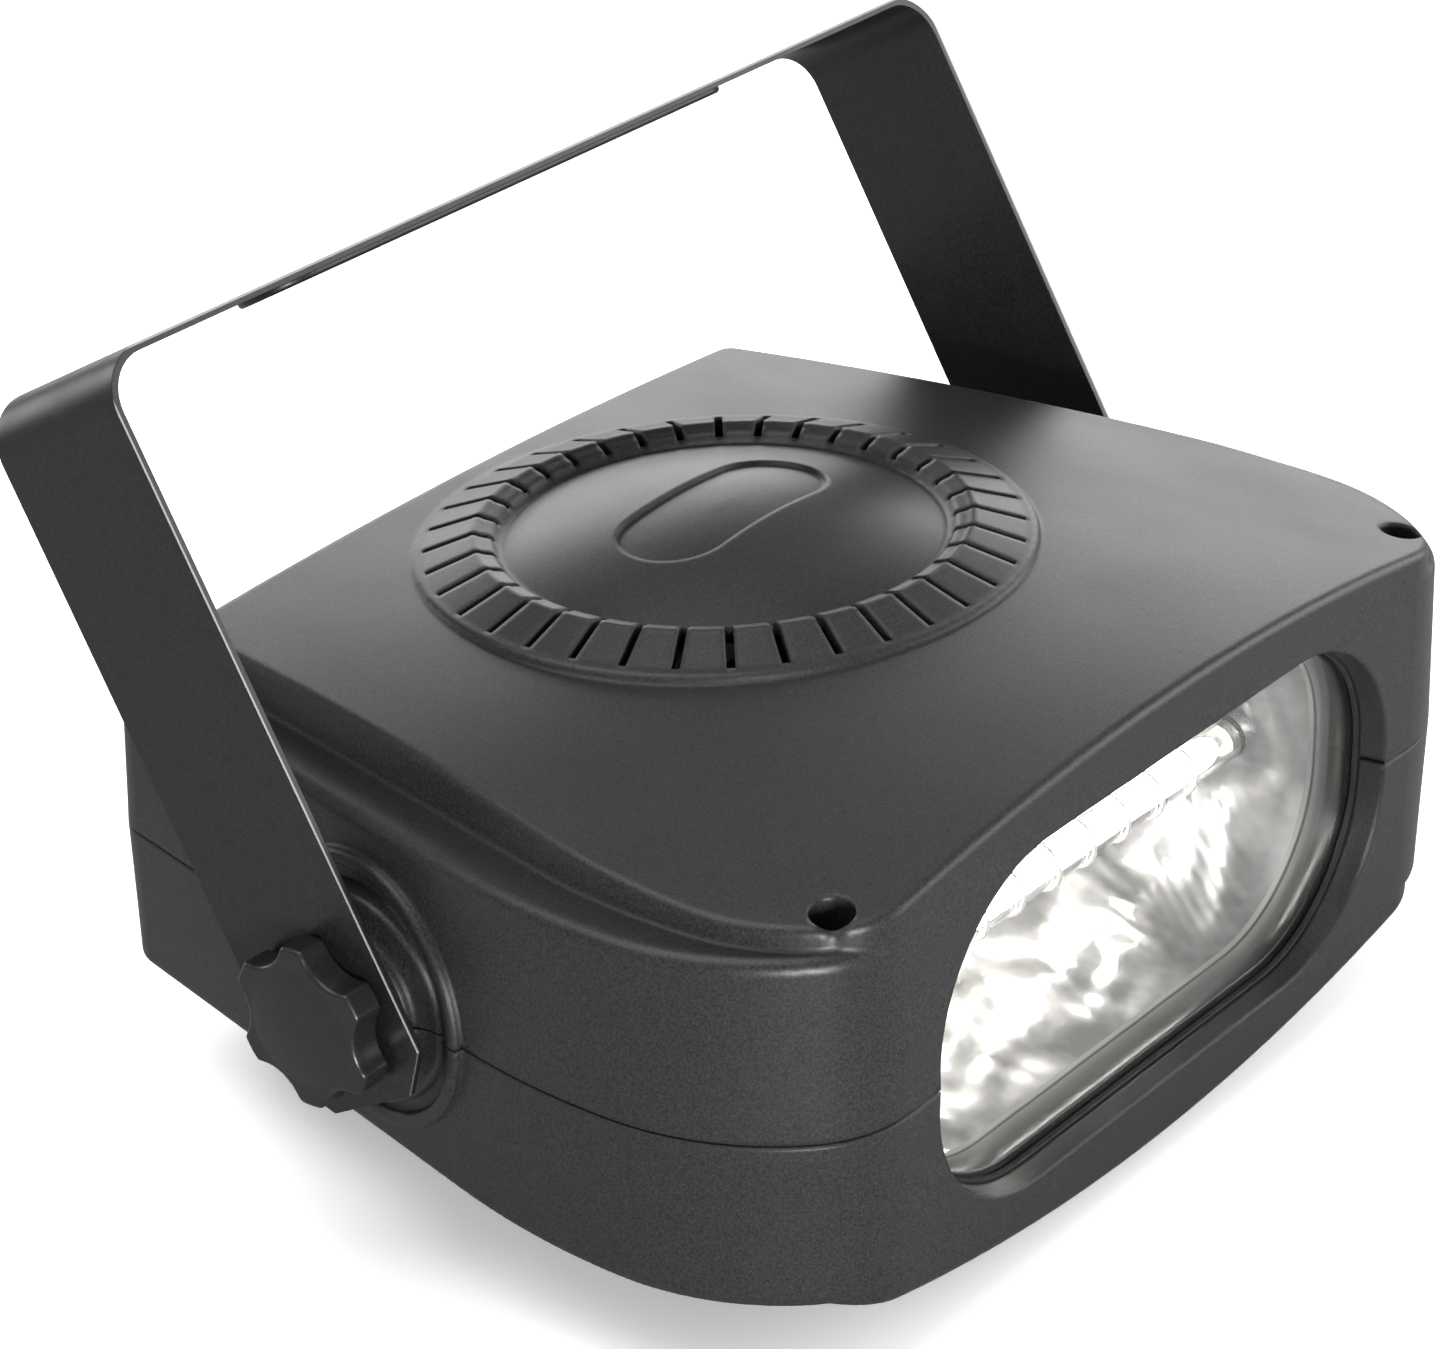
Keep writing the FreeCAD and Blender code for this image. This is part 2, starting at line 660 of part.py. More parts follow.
# ---------------------------------------------------------------- vent
def vent_profile(drop):
    """Edges of the vent's top surface from the foot to the axis, in the XZ plane, lowered by drop."""
    def at(r, h):
        return Vector(r, 0, h - drop)

    slope = CREST_H / (SLOT_R_OUT - CREST_R)
    foot_h = -slope * (FOOT_R - FOOT_ROUND - SLOT_R_OUT) / 2
    half = VALLEY_R / 2
    sag = DOME_H - VALLEY_H
    dome_r = (VALLEY_R ** 2 + sag ** 2) / (2 * sag)
    dome_mid = DOME_H - (dome_r - math.sqrt(dome_r ** 2 - half ** 2))
    foot = at(FOOT_R - FOOT_ROUND, foot_h)
    wall_top = at(FOOT_R + 0.15, foot_h - FOOT_ROUND)
    bend = at(FOOT_R - 0.25 * FOOT_ROUND, foot_h - 0.28 * FOOT_ROUND)
    crest_out, crest_in = at(CREST_R + 0.9, CREST_H - 0.9 * slope), at(CREST_R - 0.9, CREST_H - 0.35)
    lip_out, lip_in = at(LIP_R + 0.4, LIP_H + 0.15), at(LIP_R - 0.25, LIP_H - 0.45)
    step = at(VALLEY_R + 0.6, VALLEY_H + 0.35)
    curves = [
        Part.LineSegment(at(FOOT_R + FOOT_ROUND, -FOOT_DROP), wall_top),
        Part.Arc(wall_top, bend, foot),
        Part.LineSegment(foot, at(SLOT_R_OUT, 0)),
        Part.LineSegment(at(SLOT_R_OUT, 0), crest_out),
        Part.Arc(crest_out, at(CREST_R, CREST_H - 0.03), crest_in),
        Part.LineSegment(crest_in, lip_out),
        Part.Arc(lip_out, at(LIP_R, LIP_H - 0.1), lip_in),
        Part.LineSegment(lip_in, step),
        Part.Arc(step, at(VALLEY_R + 0.25, VALLEY_H + 0.08), at(VALLEY_R, VALLEY_H)),
        Part.Arc(at(VALLEY_R, VALLEY_H), at(half, dome_mid), at(0, DOME_H)),
    ]
    return [c.toShape() for c in curves]


def vent_cap():
    """Ring and dome as one moulded cap with its slots and sunken mark, in the vent's own frame."""
    top = vent_profile(0)
    under = vent_profile(VENT_WALL)
    rim = Part.LineSegment(top[0].Vertexes[0].Point, under[0].Vertexes[0].Point).toShape()
    axis = Part.LineSegment(top[-1].Vertexes[-1].Point, under[-1].Vertexes[-1].Point).toShape()
    face = Part.Face(Part.Wire(Part.__sortEdges__(top + under + [rim, axis])))
    cap = face.revolve(Vector(0, 0, 0), UP, 360)
    slots = []
    for i in range(SLOTS):
        slot = block(SLOT_R_IN, SLOT_R_OUT, -SLOT_W / 2, SLOT_W / 2, -10, 10)
        slot.rotate(Vector(0, 0, 0), UP, 360.0 * i / SLOTS)
        slots.append(slot)
    cap = cap.cut(Part.Compound(slots))
    mark = prism(obround(MARK_LENGTH, MARK_W, -5), Vector(0, 0, 20))
    sunken = cap.copy()
    sunken.translate(Vector(0, 0, -MARK_DEPTH))
    return cap.cut(mark.common(cap).cut(sunken))


def with_vent(shell):
    """The top shell with the crown opened and the vent cap set in."""
    hole = rod((FOOT_R + SLOT_R_OUT) / 2, TOP.crown, Vector(0, 0, -TOP.crown / 2))
    hole.Placement = vent_frame()
    cap = vent_cap()
    cap.Placement = vent_frame()
    return shell.cut(hole).fuse(cap)


# ---------------------------------------------------------------- shells
def top_shell():
    shell = with_vent(moulded_shell(TOP))
    above = block(-150, 150, -150, 150, 0, 100)
    inside = cover_form(TOP, WALL / 2, False)
    outside = cover_form(TOP, 0, True)
    boss = pivot_boss_outside().fuse(pivot_boss_inside())
    adds = [window_frame().common(outside), boss.common(above), mirrored_x(boss).common(above)]
    adds += [post.common(outside) for post in both_sides(screw_well, FRONT_SCREW)]
    adds += [mirrored_z(post).common(inside) for post in both_sides(screw_post, REAR_SCREW)]
    adds += [panel_channels().common(inside)]
    adds += [rib.common(inside) for rib in reflector_ribs(1)]
    shell = shell.multiFuse(adds + [tongue(0).cut(tongue_gaps())])
    cuts = [window_opening(), panel_opening(), pivot_hollows(), mirrored_x(pivot_hollows())]
    cuts += both_sides(screw_well_hollow, FRONT_SCREW)
    cuts += [mirrored_z(hollow) for hollow in both_sides(screw_post_hollow, REAR_SCREW)]
    return shell.cut(cuts + [seam_line(), seam_reliefs()])


def foot_places():
    """Centres of the four feet."""
    return [(s * x, y) for x, y in (FOOT_FRONT, FOOT_REAR) for s in (1, -1)]


def foot_pads():
    """Pads below the bottom shell that bring the feet to one level."""
    level = -SEAM_Z + FOOT_T - FOOT_SEAT
    pads = []
    for x, y in foot_places():
        pads.append(rod(FOOT_R_OUT + 1.6, BOTTOM.crown, Vector(x, y, level)))
    return pads


def board_spacers():
    """Posts under the circuit board's corners."""
    return [rod(SPACER_R, BOARD_Z + SEAM_Z, Vector(sx * SPACER_X, BOARD_Y + sy * SPACER_Y, -SEAM_Z))
            for sx in (1, -1) for sy in (1, -1)]


def board_spacer_holes():
    """Pilot holes in the posts."""
    deep = BOARD_SCREW_DEPTH + 4 * FIT
    return [rod(BOARD_SCREW_R + RUN, deep, Vector(sx * SPACER_X, BOARD_Y + sy * SPACER_Y, BOARD_Z - deep))
            for sx in (1, -1) for sy in (1, -1)]


HOLDER_X = TUBE_LENGTH / 2 + HOLDER_GAP


def holder_posts():
    """Posts that carry the tube holders."""
    posts = []
    for s in (1, -1):
        x0, x1 = sorted((s * HOLDER_X, s * (HOLDER_X + HOLDER_W)))
        posts.append(block(x0, x1, TUBE_Y - 6, TUBE_Y + 6, -SEAM_Z, -HOLDER_H / 2))
    return posts


def floor_vents():
    """Rows of slots in the floor."""
    slots = []
    for i in range(-4, 5):
        for y in (-6.0, 36.0):
            wire = obround(26.0, 2.4, -SEAM_Z)
            slot = prism(wire, Vector(0, 0, SEAM_Z / 2))
            slot.rotate(Vector(0, 0, 0), UP, 90)
            slot.translate(Vector(i * 9.0, y, 0))
            slots.append(slot)
    return slots


def bottom_shell():
    shell = mirrored_z(moulded_shell(BOTTOM))
    below = block(-150, 150, -150, 150, -100, 0)
    outside = mirrored_z(cover_form(BOTTOM, 0, True))
    inside = mirrored_z(cover_form(BOTTOM, WALL / 2, False))
    cavity = mirrored_z(cover_form(BOTTOM, WALL, False))
    boss = pivot_boss_outside().fuse(pivot_boss_inside())
    adds = [window_frame().common(outside), boss.common(below), mirrored_x(boss).common(below)]
    adds += [mirrored_z(post).common(outside) for post in both_sides(screw_well, REAR_SCREW)]
    adds += [post.common(inside) for post in both_sides(screw_post, FRONT_SCREW)]
    adds += [panel_channels().common(inside)]
    adds += [rib.common(inside) for rib in reflector_ribs(-1)]
    adds += [post.common(inside) for post in board_spacers() + holder_posts()]
    adds += [pad.cut(cavity) for pad in foot_pads()]
    shell = shell.multiFuse(adds)
    cuts = [window_opening(), panel_opening(), pivot_hollows(), mirrored_x(pivot_hollows())]
    cuts += [mirrored_z(hollow) for hollow in both_sides(screw_well_hollow, REAR_SCREW)]
    cuts += both_sides(screw_post_hollow, FRONT_SCREW)
    cuts += board_spacer_holes() + floor_vents() + [tongue(FIT).cut(tongue_gaps())]
    for x, y in foot_places():
        cuts.append(rod(FOOT_R_OUT + FIT, FOOT_T, Vector(x, y, -SEAM_Z)))
    return shell.cut(cuts + [mirrored_z(seam_line())])


def feet():
    """Four soft feet, each a disc with a rounded rim."""
    shapes = []
    for x, y in foot_places():
        foot = rod(FOOT_R_OUT, FOOT_T, Vector(x, y, -SEAM_Z))
        rim = [e for e in foot.Edges if abs(e.BoundBox.ZMax + SEAM_Z) < 0.01]
        shapes.append(foot.makeFillet(0.8, rim))
    return Part.Compound(shapes)


def case_screw(x, y, up):
    """Pan head screw at the bottom of a well; up is 1 where the head is above the seam."""
    head = rod(CASE_SCREW_HEAD_R, 2.0, Vector(x, y, WELL_FLOOR))
    head = head.makeFillet(0.7, [e for e in head.Edges if e.BoundBox.ZMin > WELL_FLOOR + 1.9])
    slot = block(x - 0.4, x + 0.4, y - 1.9, y + 1.9, WELL_FLOOR + 1, WELL_FLOOR + 3)
    cross = block(x - 1.9, x + 1.9, y - 0.4, y + 0.4, WELL_FLOOR + 1, WELL_FLOOR + 3)
    shank = rod(CASE_SCREW_R, 2 * WELL_FLOOR - 4, Vector(x, y, 4 - WELL_FLOOR))
    screw = head.fuse(shank).cut(slot.fuse(cross))
    return screw if up > 0 else mirrored_z(screw)


def case_screws():
    """Two screws from above at the front and two from below at the rear."""
    screws = []
    for place, up in ((FRONT_SCREW, 1), (REAR_SCREW, -1)):
        x, y = place
        screws += [case_screw(x, y, up), case_screw(-x, y, up)]
    return Part.Compound(screws)


# ---------------------------------------------------------------- lamp
def front_lens():
    """Clear plate with rounded rims, held by its edge."""
    plate = window_prism(GROOVE - WINDOW_DRAFT - GASKET_T - FIT, LENS_SET, LENS_SET + LENS_T)
    front = [e for e in plate.Edges if e.BoundBox.YMax < LENS_SET - FRONT_Y + 0.01]
    return plate.makeFillet(0.5, front)


def lens_gasket():
    """Soft channel round the edge of the lens."""
    outer = window_prism(GROOVE - WINDOW_DRAFT - FIT / 2, LENS_SET - GASKET_T, LENS_BACK)
    plate = window_prism(GROOVE - WINDOW_DRAFT - GASKET_T - FIT / 2, LENS_SET, LENS_SET + LENS_T)
    sight = window_prism(-WINDOW_DRAFT - GASKET_SHOWS, LENS_SET - GASKET_T, LENS_SET)
    back = window_prism(-WINDOW_DRAFT + FIT, LENS_SET + LENS_T, LENS_BACK)
    return outer.cut([plate, sight, back])


def reflector_section(share, grow):
    """Closed outline of the trough at a share of its depth: 0 at the rim, 1 at the back."""
    depth = FRAME_BACK + REFLECTOR_T + share * REFLECTOR_DEPTH
    fall = math.sqrt(1 - 0.93 * share)
    half_h = (WINDOW_H / 2 - REFLECTOR_RIM) * fall
    half_w = WINDOW_W / 2 - REFLECTOR_RIM - (WINDOW_H / 2 - half_h) * 0.75
    radius = min(WINDOW_R - REFLECTOR_RIM, half_h * 0.94)
    return rounded_rectangle(2 * (half_w + grow), 2 * (half_h + grow), radius + grow, depth - FRONT_Y)


def trough(grow, extra):
    """Smooth solid of the reflector's inside, grown by grow; extra lengthens its back."""
    sections = [reflector_section(share, grow) for share in (0.0, 0.3, 0.6, 0.85, 1.0)]
    solid = Part.makeLoft(sections, True, False)
    if extra:
        solid = solid.fuse(prism(sections[-1], Vector(0, extra, 0)))
    return solid


def reflector():
    """Bright trough with a flange, open at the ends for the tube."""
    flange = window_prism(1.2, FRAME_BACK, FRAME_BACK + REFLECTOR_T)
    collar_start = LENS_SET + LENS_T + 2 * FIT
    collar = window_prism(-WINDOW_DRAFT - FIT, collar_start, FRAME_BACK + REFLECTOR_T)
    mouth = window_prism(-WINDOW_DRAFT - FIT - REFLECTOR_T, collar_start, FRAME_BACK + REFLECTOR_T)
    outer = trough(REFLECTOR_T, REFLECTOR_T)
    holes = rod(TUBE_R + 1.2, 2 * HOLDER_X, Vector(-HOLDER_X, TUBE_Y, 0), ALONG_X)
    return flange.multiFuse([collar, outer]).cut([trough(0, 0), mouth, holes])


def flash_tube():
    """Glass envelope of the xenon tube."""
    return ring(TUBE_R, TUBE_R - TUBE_WALL, TUBE_LENGTH, Vector(-TUBE_LENGTH / 2, TUBE_Y, 0), ALONG_X)


def electrode(s):
    """Metal end cap with its electrode inside the glass; s is the side."""
    bore = TUBE_R - TUBE_WALL - RUN
    cap = rod(TUBE_R, HOLDER_W + HOLDER_GAP, Vector(TUBE_LENGTH / 2, TUBE_Y, 0), ALONG_X)
    seal_end = TUBE_LENGTH / 2 - SEAL_L
    tip_end = TUBE_LENGTH / 2 - ELECTRODE_REACH
    seal = rod(bore, SEAL_L, Vector(seal_end, TUBE_Y, 0), ALONG_X)
    pin = rod(PIN_R, seal_end - tip_end, Vector(tip_end, TUBE_Y, 0), ALONG_X)
    tip = rod(TIP_R, TIP_L, Vector(tip_end, TUBE_Y, 0), ALONG_X)
    shape = cap.multiFuse([seal, pin, tip])
    return shape if s > 0 else mirrored_x(shape)


def tube_holder(s):
    """Block that grips an end cap."""
    front, rear = TUBE_Y - HOLDER_L / 2, TUBE_Y + HOLDER_L / 2
    body = block(HOLDER_X, HOLDER_X + HOLDER_W, front, rear, -HOLDER_H / 2, HOLDER_H / 2)
    body = body.makeFillet(2.0, [e for e in body.Edges if e.BoundBox.ZMin > HOLDER_H / 2 - 0.1])
    bore = rod(TUBE_R + RUN, HOLDER_W, Vector(HOLDER_X, TUBE_Y, 0), ALONG_X)
    front, rear = TUBE_Y - HOLDER_MOUTH / 2, TUBE_Y + HOLDER_MOUTH / 2
    mouth = block(HOLDER_X, HOLDER_X + HOLDER_W, front, rear, 0, HOLDER_H)
    body = body.cut(bore).cut(mouth)
    return body if s > 0 else mirrored_x(body)


def trigger_wire():
    """Thin wire along the tube, with loops round it."""
    loop_r = TUBE_R + TRIGGER_R + RUN
    y = TUBE_Y + TUBE_R + TRIGGER_R + RUN
    wire = rod(TRIGGER_R, TUBE_LENGTH * 0.8, Vector(-TUBE_LENGTH * 0.4, y, 0), ALONG_X)
    loops = []
    for i in range(TRIGGER_LOOPS):
        x = (i - (TRIGGER_LOOPS - 1) / 2) * TUBE_LENGTH * 0.09
        loops.append(Part.makeTorus(loop_r, TRIGGER_R, Vector(x, TUBE_Y, 0), ALONG_X))
    return wire.multiFuse(loops)


# ---------------------------------------------------------------- circuit board
def circuit_board():
    front, rear = BOARD_Y - BOARD_L / 2, BOARD_Y + BOARD_L / 2
    plate = block(-BOARD_W / 2, BOARD_W / 2, front, rear, BOARD_Z, BOARD_Z + BOARD_T)
    holes = [rod(BOARD_SCREW_R + FIT, BOARD_T, Vector(sx * SPACER_X, BOARD_Y + sy * SPACER_Y, BOARD_Z))
             for sx in (1, -1) for sy in (1, -1)]
    return plate.cut(holes)


BOARD_TOP = BOARD_Z + BOARD_T


def board_screws():
    screws = []
    for sx in (1, -1):
        for sy in (1, -1):
            x, y = sx * SPACER_X, BOARD_Y + sy * SPACER_Y
            screw = rod(BOARD_SCREW_R, BOARD_SCREW_DEPTH + BOARD_T, Vector(x, y, BOARD_Z - BOARD_SCREW_DEPTH))
            screws.append(screw.fuse(rod(BOARD_HEAD_R, BOARD_HEAD_T, Vector(x, y, BOARD_TOP))))
    return Part.Compound(screws)


def storage_capacitors():
    """Two upright cans with a groove near the foot."""
    cans = []
    for x in CAP_X:
        can = rod(CAP_R, CAP_H, Vector(x, CAP_Y, BOARD_TOP))
        can = can.makeFillet(CAP_ROUND, [e for e in can.Edges if e.BoundBox.ZMin > BOARD_TOP + CAP_H - 0.1])
        groove = Part.makeTorus(CAP_R + 0.3, 0.9, Vector(x, CAP_Y, BOARD_TOP + 4), UP)
        cans.append(can.cut(groove))
    return Part.Compound(cans)


def trigger_transformer():
    """Small potted coil on a bobbin."""
    x, y, half = TRANSFORMER_X, TRANSFORMER_Y, TRANSFORMER_W / 2
    coil = rod(TRANSFORMER_COIL_R, TRANSFORMER_COIL_H, Vector(x, y, BOARD_TOP + TRANSFORMER_FLANGE))
    flanges = []
    for z in (BOARD_TOP, BOARD_TOP + TRANSFORMER_FLANGE + TRANSFORMER_COIL_H):
        flanges.append(block(x - half, x + half, y - half, y + half, z, z + TRANSFORMER_FLANGE))
    return flanges[0].multiFuse([coil, flanges[1]])


def power_resistor():
    """Square ceramic block resistor on two wire legs."""
    y0, y1 = RESISTOR_Y - RESISTOR_W / 2, RESISTOR_Y + RESISTOR_W / 2
    z0 = BOARD_TOP + RESISTOR_LIFT
    body = block(RESISTOR_X, RESISTOR_X + RESISTOR_L, y0, y1, z0, z0 + RESISTOR_W)
    legs = [rod(0.5, RESISTOR_LIFT, Vector(RESISTOR_X + dx, RESISTOR_Y, BOARD_TOP))
            for dx in (RESISTOR_LEG_IN, RESISTOR_L - RESISTOR_LEG_IN)]
    return body.multiFuse(legs)


SINK_TOP = BOARD_TOP + SINK_H


def heat_sink():
    """Finned block that cools the thyristor."""
    x, y, half = SINK_X, SINK_Y, SINK_BASE_T / 2
    base = block(x - SINK_W / 2, x + SINK_W / 2, y - half, y + half, BOARD_TOP, SINK_TOP)
    fins = []
    for i in range(-2, 3):
        fin = x + i * SINK_FIN_PITCH
        fins.append(block(fin - SINK_FIN_T / 2, fin + SINK_FIN_T / 2, y - SINK_FIN_L, y, BOARD_TOP, SINK_TOP))
    return base.multiFuse(fins)


def thyristor():
    """Three-legged device against the heat sink."""
    x0, x1 = SINK_X - DEVICE_W / 2, SINK_X + DEVICE_W / 2
    y, z = SINK_Y + SINK_BASE_T / 2, BOARD_TOP + DEVICE_LIFT
    tab = block(x0, x1, y, y + DEVICE_TAB_T, z, z + DEVICE_TAB_H)
    body = block(x0, x1, y, y + DEVICE_T, z, z + DEVICE_H)
    legs = []
    for i in (-1, 0, 1):
        x = SINK_X + i * DEVICE_LEG_PITCH
        legs.append(block(x - 0.4, x + 0.4, y + 2, y + 2.6, BOARD_TOP, z))
    return tab.multiFuse([body] + legs)


def terminal_block():
    """Three-way screw terminal for the incoming mains."""
    x, y, half = TERMINAL_X, TERMINAL_Y, TERMINAL_L / 2
    left, right = x - TERMINAL_W / 2, x + TERMINAL_W / 2
    body = block(left, right, y - half, y + half, BOARD_TOP, BOARD_TOP + TERMINAL_H)
    ways = (-TERMINAL_PITCH, 0, TERMINAL_PITCH)
    cuts = [rod(TERMINAL_SCREW_R, 4, Vector(x + dx, y, BOARD_TOP + TERMINAL_H - 4)) for dx in ways]
    cuts += [rod(TERMINAL_ENTRY_R, 8, Vector(x + dx, y + half, BOARD_TOP + 3.5), -ALONG_Y) for dx in ways]
    return body.cut(cuts)


def tube_lead(s):
    """Insulated wire from an end cap down to the board."""
    start = Vector(HOLDER_X + HOLDER_W, TUBE_Y, 0)
    x = start.x + LEAD_OUT
    y = BOARD_Y - BOARD_L / 2 + 6
    corners = [start, Vector(x, TUBE_Y, 0), Vector(x, y, -6), Vector(x - LEAD_IN, y, BOARD_TOP + LEAD_DROP)]
    corners.append(Vector(x - LEAD_IN, y, BOARD_TOP))
    path = rounded_path(corners, [LEAD_OUT - FIT, LEAD_BEND, LEAD_DROP - 1.0])
    tangent = (corners[1] - corners[0]).normalize()
    section = Part.Wire(Part.Circle(start, tangent, LEAD_R).toShape())
    wire = Part.Wire(path).makePipeShell([section], True, True)
    return wire if s > 0 else mirrored_x(wire)


def rounded_path(points, radii):
    """Straight runs between the points, joined by tangent arcs."""
    edges = []
    last = points[0]
    for i, radius in enumerate(radii):
        before, here, after = points[i], points[i + 1], points[i + 2]
        u = (before - here).normalize()
        v = (after - here).normalize()
        half = u.getAngle(v) / 2
        reach = radius / math.tan(half)
        p, q = here + u * reach, here + v * reach
        middle = here + (u + v).normalize() * (radius / math.sin(half) - radius)
        edges.append(Part.LineSegment(last, p).toShape())
        edges.append(Part.Arc(p, middle, q).toShape())
        last = q
    edges.append(Part.LineSegment(last, points[-1]).toShape())
    return edges


# ---------------------------------------------------------------- rear panel and what it carries
PANEL_BACK = REAR_Y - WALL - PANEL_T
PANEL_FACE = REAR_Y - WALL


def rear_panel():
    wire = rounded_rectangle(PANEL_W, PANEL_H, PANEL_CORNER_R, PANEL_BACK)
    plate = prism(wire, Vector(0, PANEL_T, 0))
    holes = []
    for x, radius in ((RATE_X, RATE_BUSH_R), (FUSE_X, FUSE_BODY_R), (GLAND_X, GLAND_THREAD_R)):
        holes.append(rod(radius + PANEL_HOLE_FIT, PANEL_T, Vector(x, PANEL_BACK, 0), ALONG_Y))
    return plate.cut(holes)


def rate_potentiometer():
    """Can behind the panel with its bushing through it and three tags."""
    can = rod(RATE_CAN_R, RATE_CAN_L, Vector(RATE_X, PANEL_BACK - RATE_CAN_L, 0), ALONG_Y)
    bushing = rod(RATE_BUSH_R, PANEL_T + RATE_BUSH_L, Vector(RATE_X, PANEL_BACK, 0), ALONG_Y)
    tags = []
    for i in (-1, 0, 1):
        x = RATE_X + i * RATE_TAG_PITCH
        tags.append(block(x - 1, x + 1, PANEL_BACK - 6, PANEL_BACK - 6 + RATE_TAG_T, -15, -6))
    bore = rod(SHAFT_R + RUN, PANEL_T + 12, Vector(RATE_X, PANEL_BACK - 5, 0), ALONG_Y)
    return can.multiFuse([bushing] + tags).cut(bore)


def rate_nut():
    nut = hexagon(RATE_NUT_AF, RATE_NUT_T, Vector(RATE_X, PANEL_FACE, 0), ALONG_Y)
    return nut.cut(rod(RATE_BUSH_R + RUN, RATE_NUT_T, Vector(RATE_X, PANEL_FACE, 0), ALONG_Y))


RATE_KNOB_BASE = PANEL_FACE + WALL + RATE_KNOB_GAP
SHAFT_END = RATE_KNOB_TOP - 4.0


def rate_shaft():
    start = PANEL_BACK - 4.8
    return rod(SHAFT_R, SHAFT_END - start, Vector(RATE_X, start, 0), ALONG_Y)


def rate_knob():
    """Round knob with grip flutes and a sunken pointer line, hollow for the shaft."""
    length = RATE_KNOB_TOP - RATE_KNOB_BASE
    base = Vector(RATE_X, RATE_KNOB_BASE, 0)
    skirt = rod(RATE_KNOB_R, RATE_SKIRT, base, ALONG_Y)
    grip = Part.makeCone(RATE_KNOB_R - 1.2, RATE_KNOB_R - 2.2, length, base, ALONG_Y)
    grip = grip.makeFillet(1.0, [e for e in grip.Edges if e.BoundBox.YMin > RATE_KNOB_TOP - 0.1])
    flutes = []
    for i in range(RATE_FLUTES):
        a = 2 * math.pi * (i + 0.5) / RATE_FLUTES
        x, z = RATE_X + RATE_KNOB_R * math.cos(a), RATE_KNOB_R * math.sin(a)
        flutes.append(rod(RATE_FLUTE_R, length, Vector(x, RATE_KNOB_BASE + RATE_SKIRT, z), ALONG_Y))
    pointer = block(RATE_X - 0.5, RATE_X + 0.5, RATE_KNOB_TOP - 0.6, RATE_KNOB_TOP + 1, 1.0, RATE_KNOB_R)
    bore = rod(SHAFT_R + RUN, SHAFT_END - RATE_KNOB_BASE + RUN, base, ALONG_Y)
    nut_room = rod(6.4, 2.0, base, ALONG_Y)
    return skirt.fuse(grip).cut(flutes + [pointer, bore, nut_room])


def fuse_holder():
    """Body through the panel with its flange in front."""
    back = PANEL_FACE - FUSE_BODY_L
    body = rod(FUSE_BODY_R, FUSE_BODY_L, Vector(FUSE_X, back, 0), ALONG_Y)
    flange = rod(FUSE_FLANGE_R, FUSE_FLANGE_T, Vector(FUSE_X, PANEL_FACE, 0), ALONG_Y)
    tag = block(FUSE_X - 2, FUSE_X + 2, back - FUSE_TAG_L, back, -0.4, 0.4)
    bore = rod(FUSE_BORE_R, FUSE_BODY_L, Vector(FUSE_X, back + 2, 0), ALONG_Y)
    return body.multiFuse([flange, tag]).cut(bore)


def flat_nut(across_flats, thread_r, x):
    """Nut on a thread behind the panel."""
    nut = hexagon(across_flats, NUT_T, Vector(x, PANEL_BACK - NUT_T, 0), ALONG_Y)
    return nut.cut(rod(thread_r + RUN, NUT_T, Vector(x, PANEL_BACK - NUT_T, 0), ALONG_Y))


def fuse_cap():
    """Screw cap with a coin slot; its sleeve grips the fuse."""
    start = PANEL_FACE + FUSE_FLANGE_T
    cap = rod(FUSE_CAP_R, FUSE_CAP_L, Vector(FUSE_X, start, 0), ALONG_Y)
    cap = cap.makeFillet(0.8, [e for e in cap.Edges if e.BoundBox.YMin > start + FUSE_CAP_L - 0.1])
    slot = block(FUSE_X - 5, FUSE_X + 5, start + FUSE_CAP_L - 1.5, start + FUSE_CAP_L + 1, -0.7, 0.7)
    sleeve = ring(FUSE_BORE_R - 0.1, FUSE_R + RUN, FUSE_CAP_L, Vector(FUSE_X, start - FUSE_CAP_L, 0), ALONG_Y)
    return cap.fuse(sleeve).cut(slot)


def fuse():
    """Glass fuse, its end just inside the cap."""
    end = PANEL_FACE + FUSE_FLANGE_T - 0.2
    return rod(FUSE_R, FUSE_L, Vector(FUSE_X, end - FUSE_L, 0), ALONG_Y)


GLAND_FRONT = PANEL_FACE + GLAND_COLLAR_T


def gland_body():
    """Threaded sleeve with a hexagon collar against the panel."""
    collar = hexagon(GLAND_COLLAR_AF, GLAND_COLLAR_T, Vector(GLAND_X, PANEL_FACE, 0), ALONG_Y)
    thread = rod(GLAND_THREAD_R, GLAND_THREAD_L, Vector(GLAND_X, PANEL_BACK - 6, 0), ALONG_Y)
    bore = rod(GLAND_BORE_R, 40.0, Vector(GLAND_X, PANEL_BACK - 8, 0), ALONG_Y)
    seat = rod(GLAND_SEAT_R, GLAND_SEAL_L + 1, Vector(GLAND_X, GLAND_FRONT, 0), ALONG_Y)
    return collar.fuse(thread).cut([bore, seat])


def gland_seal():
    """Soft sleeve that closes on the cord."""
    start = Vector(GLAND_X, GLAND_FRONT + GLAND_NUT_GAP, 0)
    return ring(GLAND_SEAT_R - RUN, GLAND_BORE_R, GLAND_SEAL_L, start, ALONG_Y)


def gland_dome_nut():
    """Domed nut that squeezes the seal."""
    flats = 6.0
    start = Vector(GLAND_X, GLAND_FRONT + GLAND_NUT_GAP, 0)
    nut = hexagon(GLAND_NUT_AF, flats, start, ALONG_Y)
    dome = Part.makeCone(7.8, 5.4, GLAND_DOME_L, start + ALONG_Y * flats, ALONG_Y)
    thread = rod(GLAND_THREAD_R + RUN, GLAND_SEAL_L + 0.4, start, ALONG_Y)
    mouth = rod(GLAND_BORE_R, 12.0, start, ALONG_Y)
    return nut.fuse(dome).cut([thread, mouth])


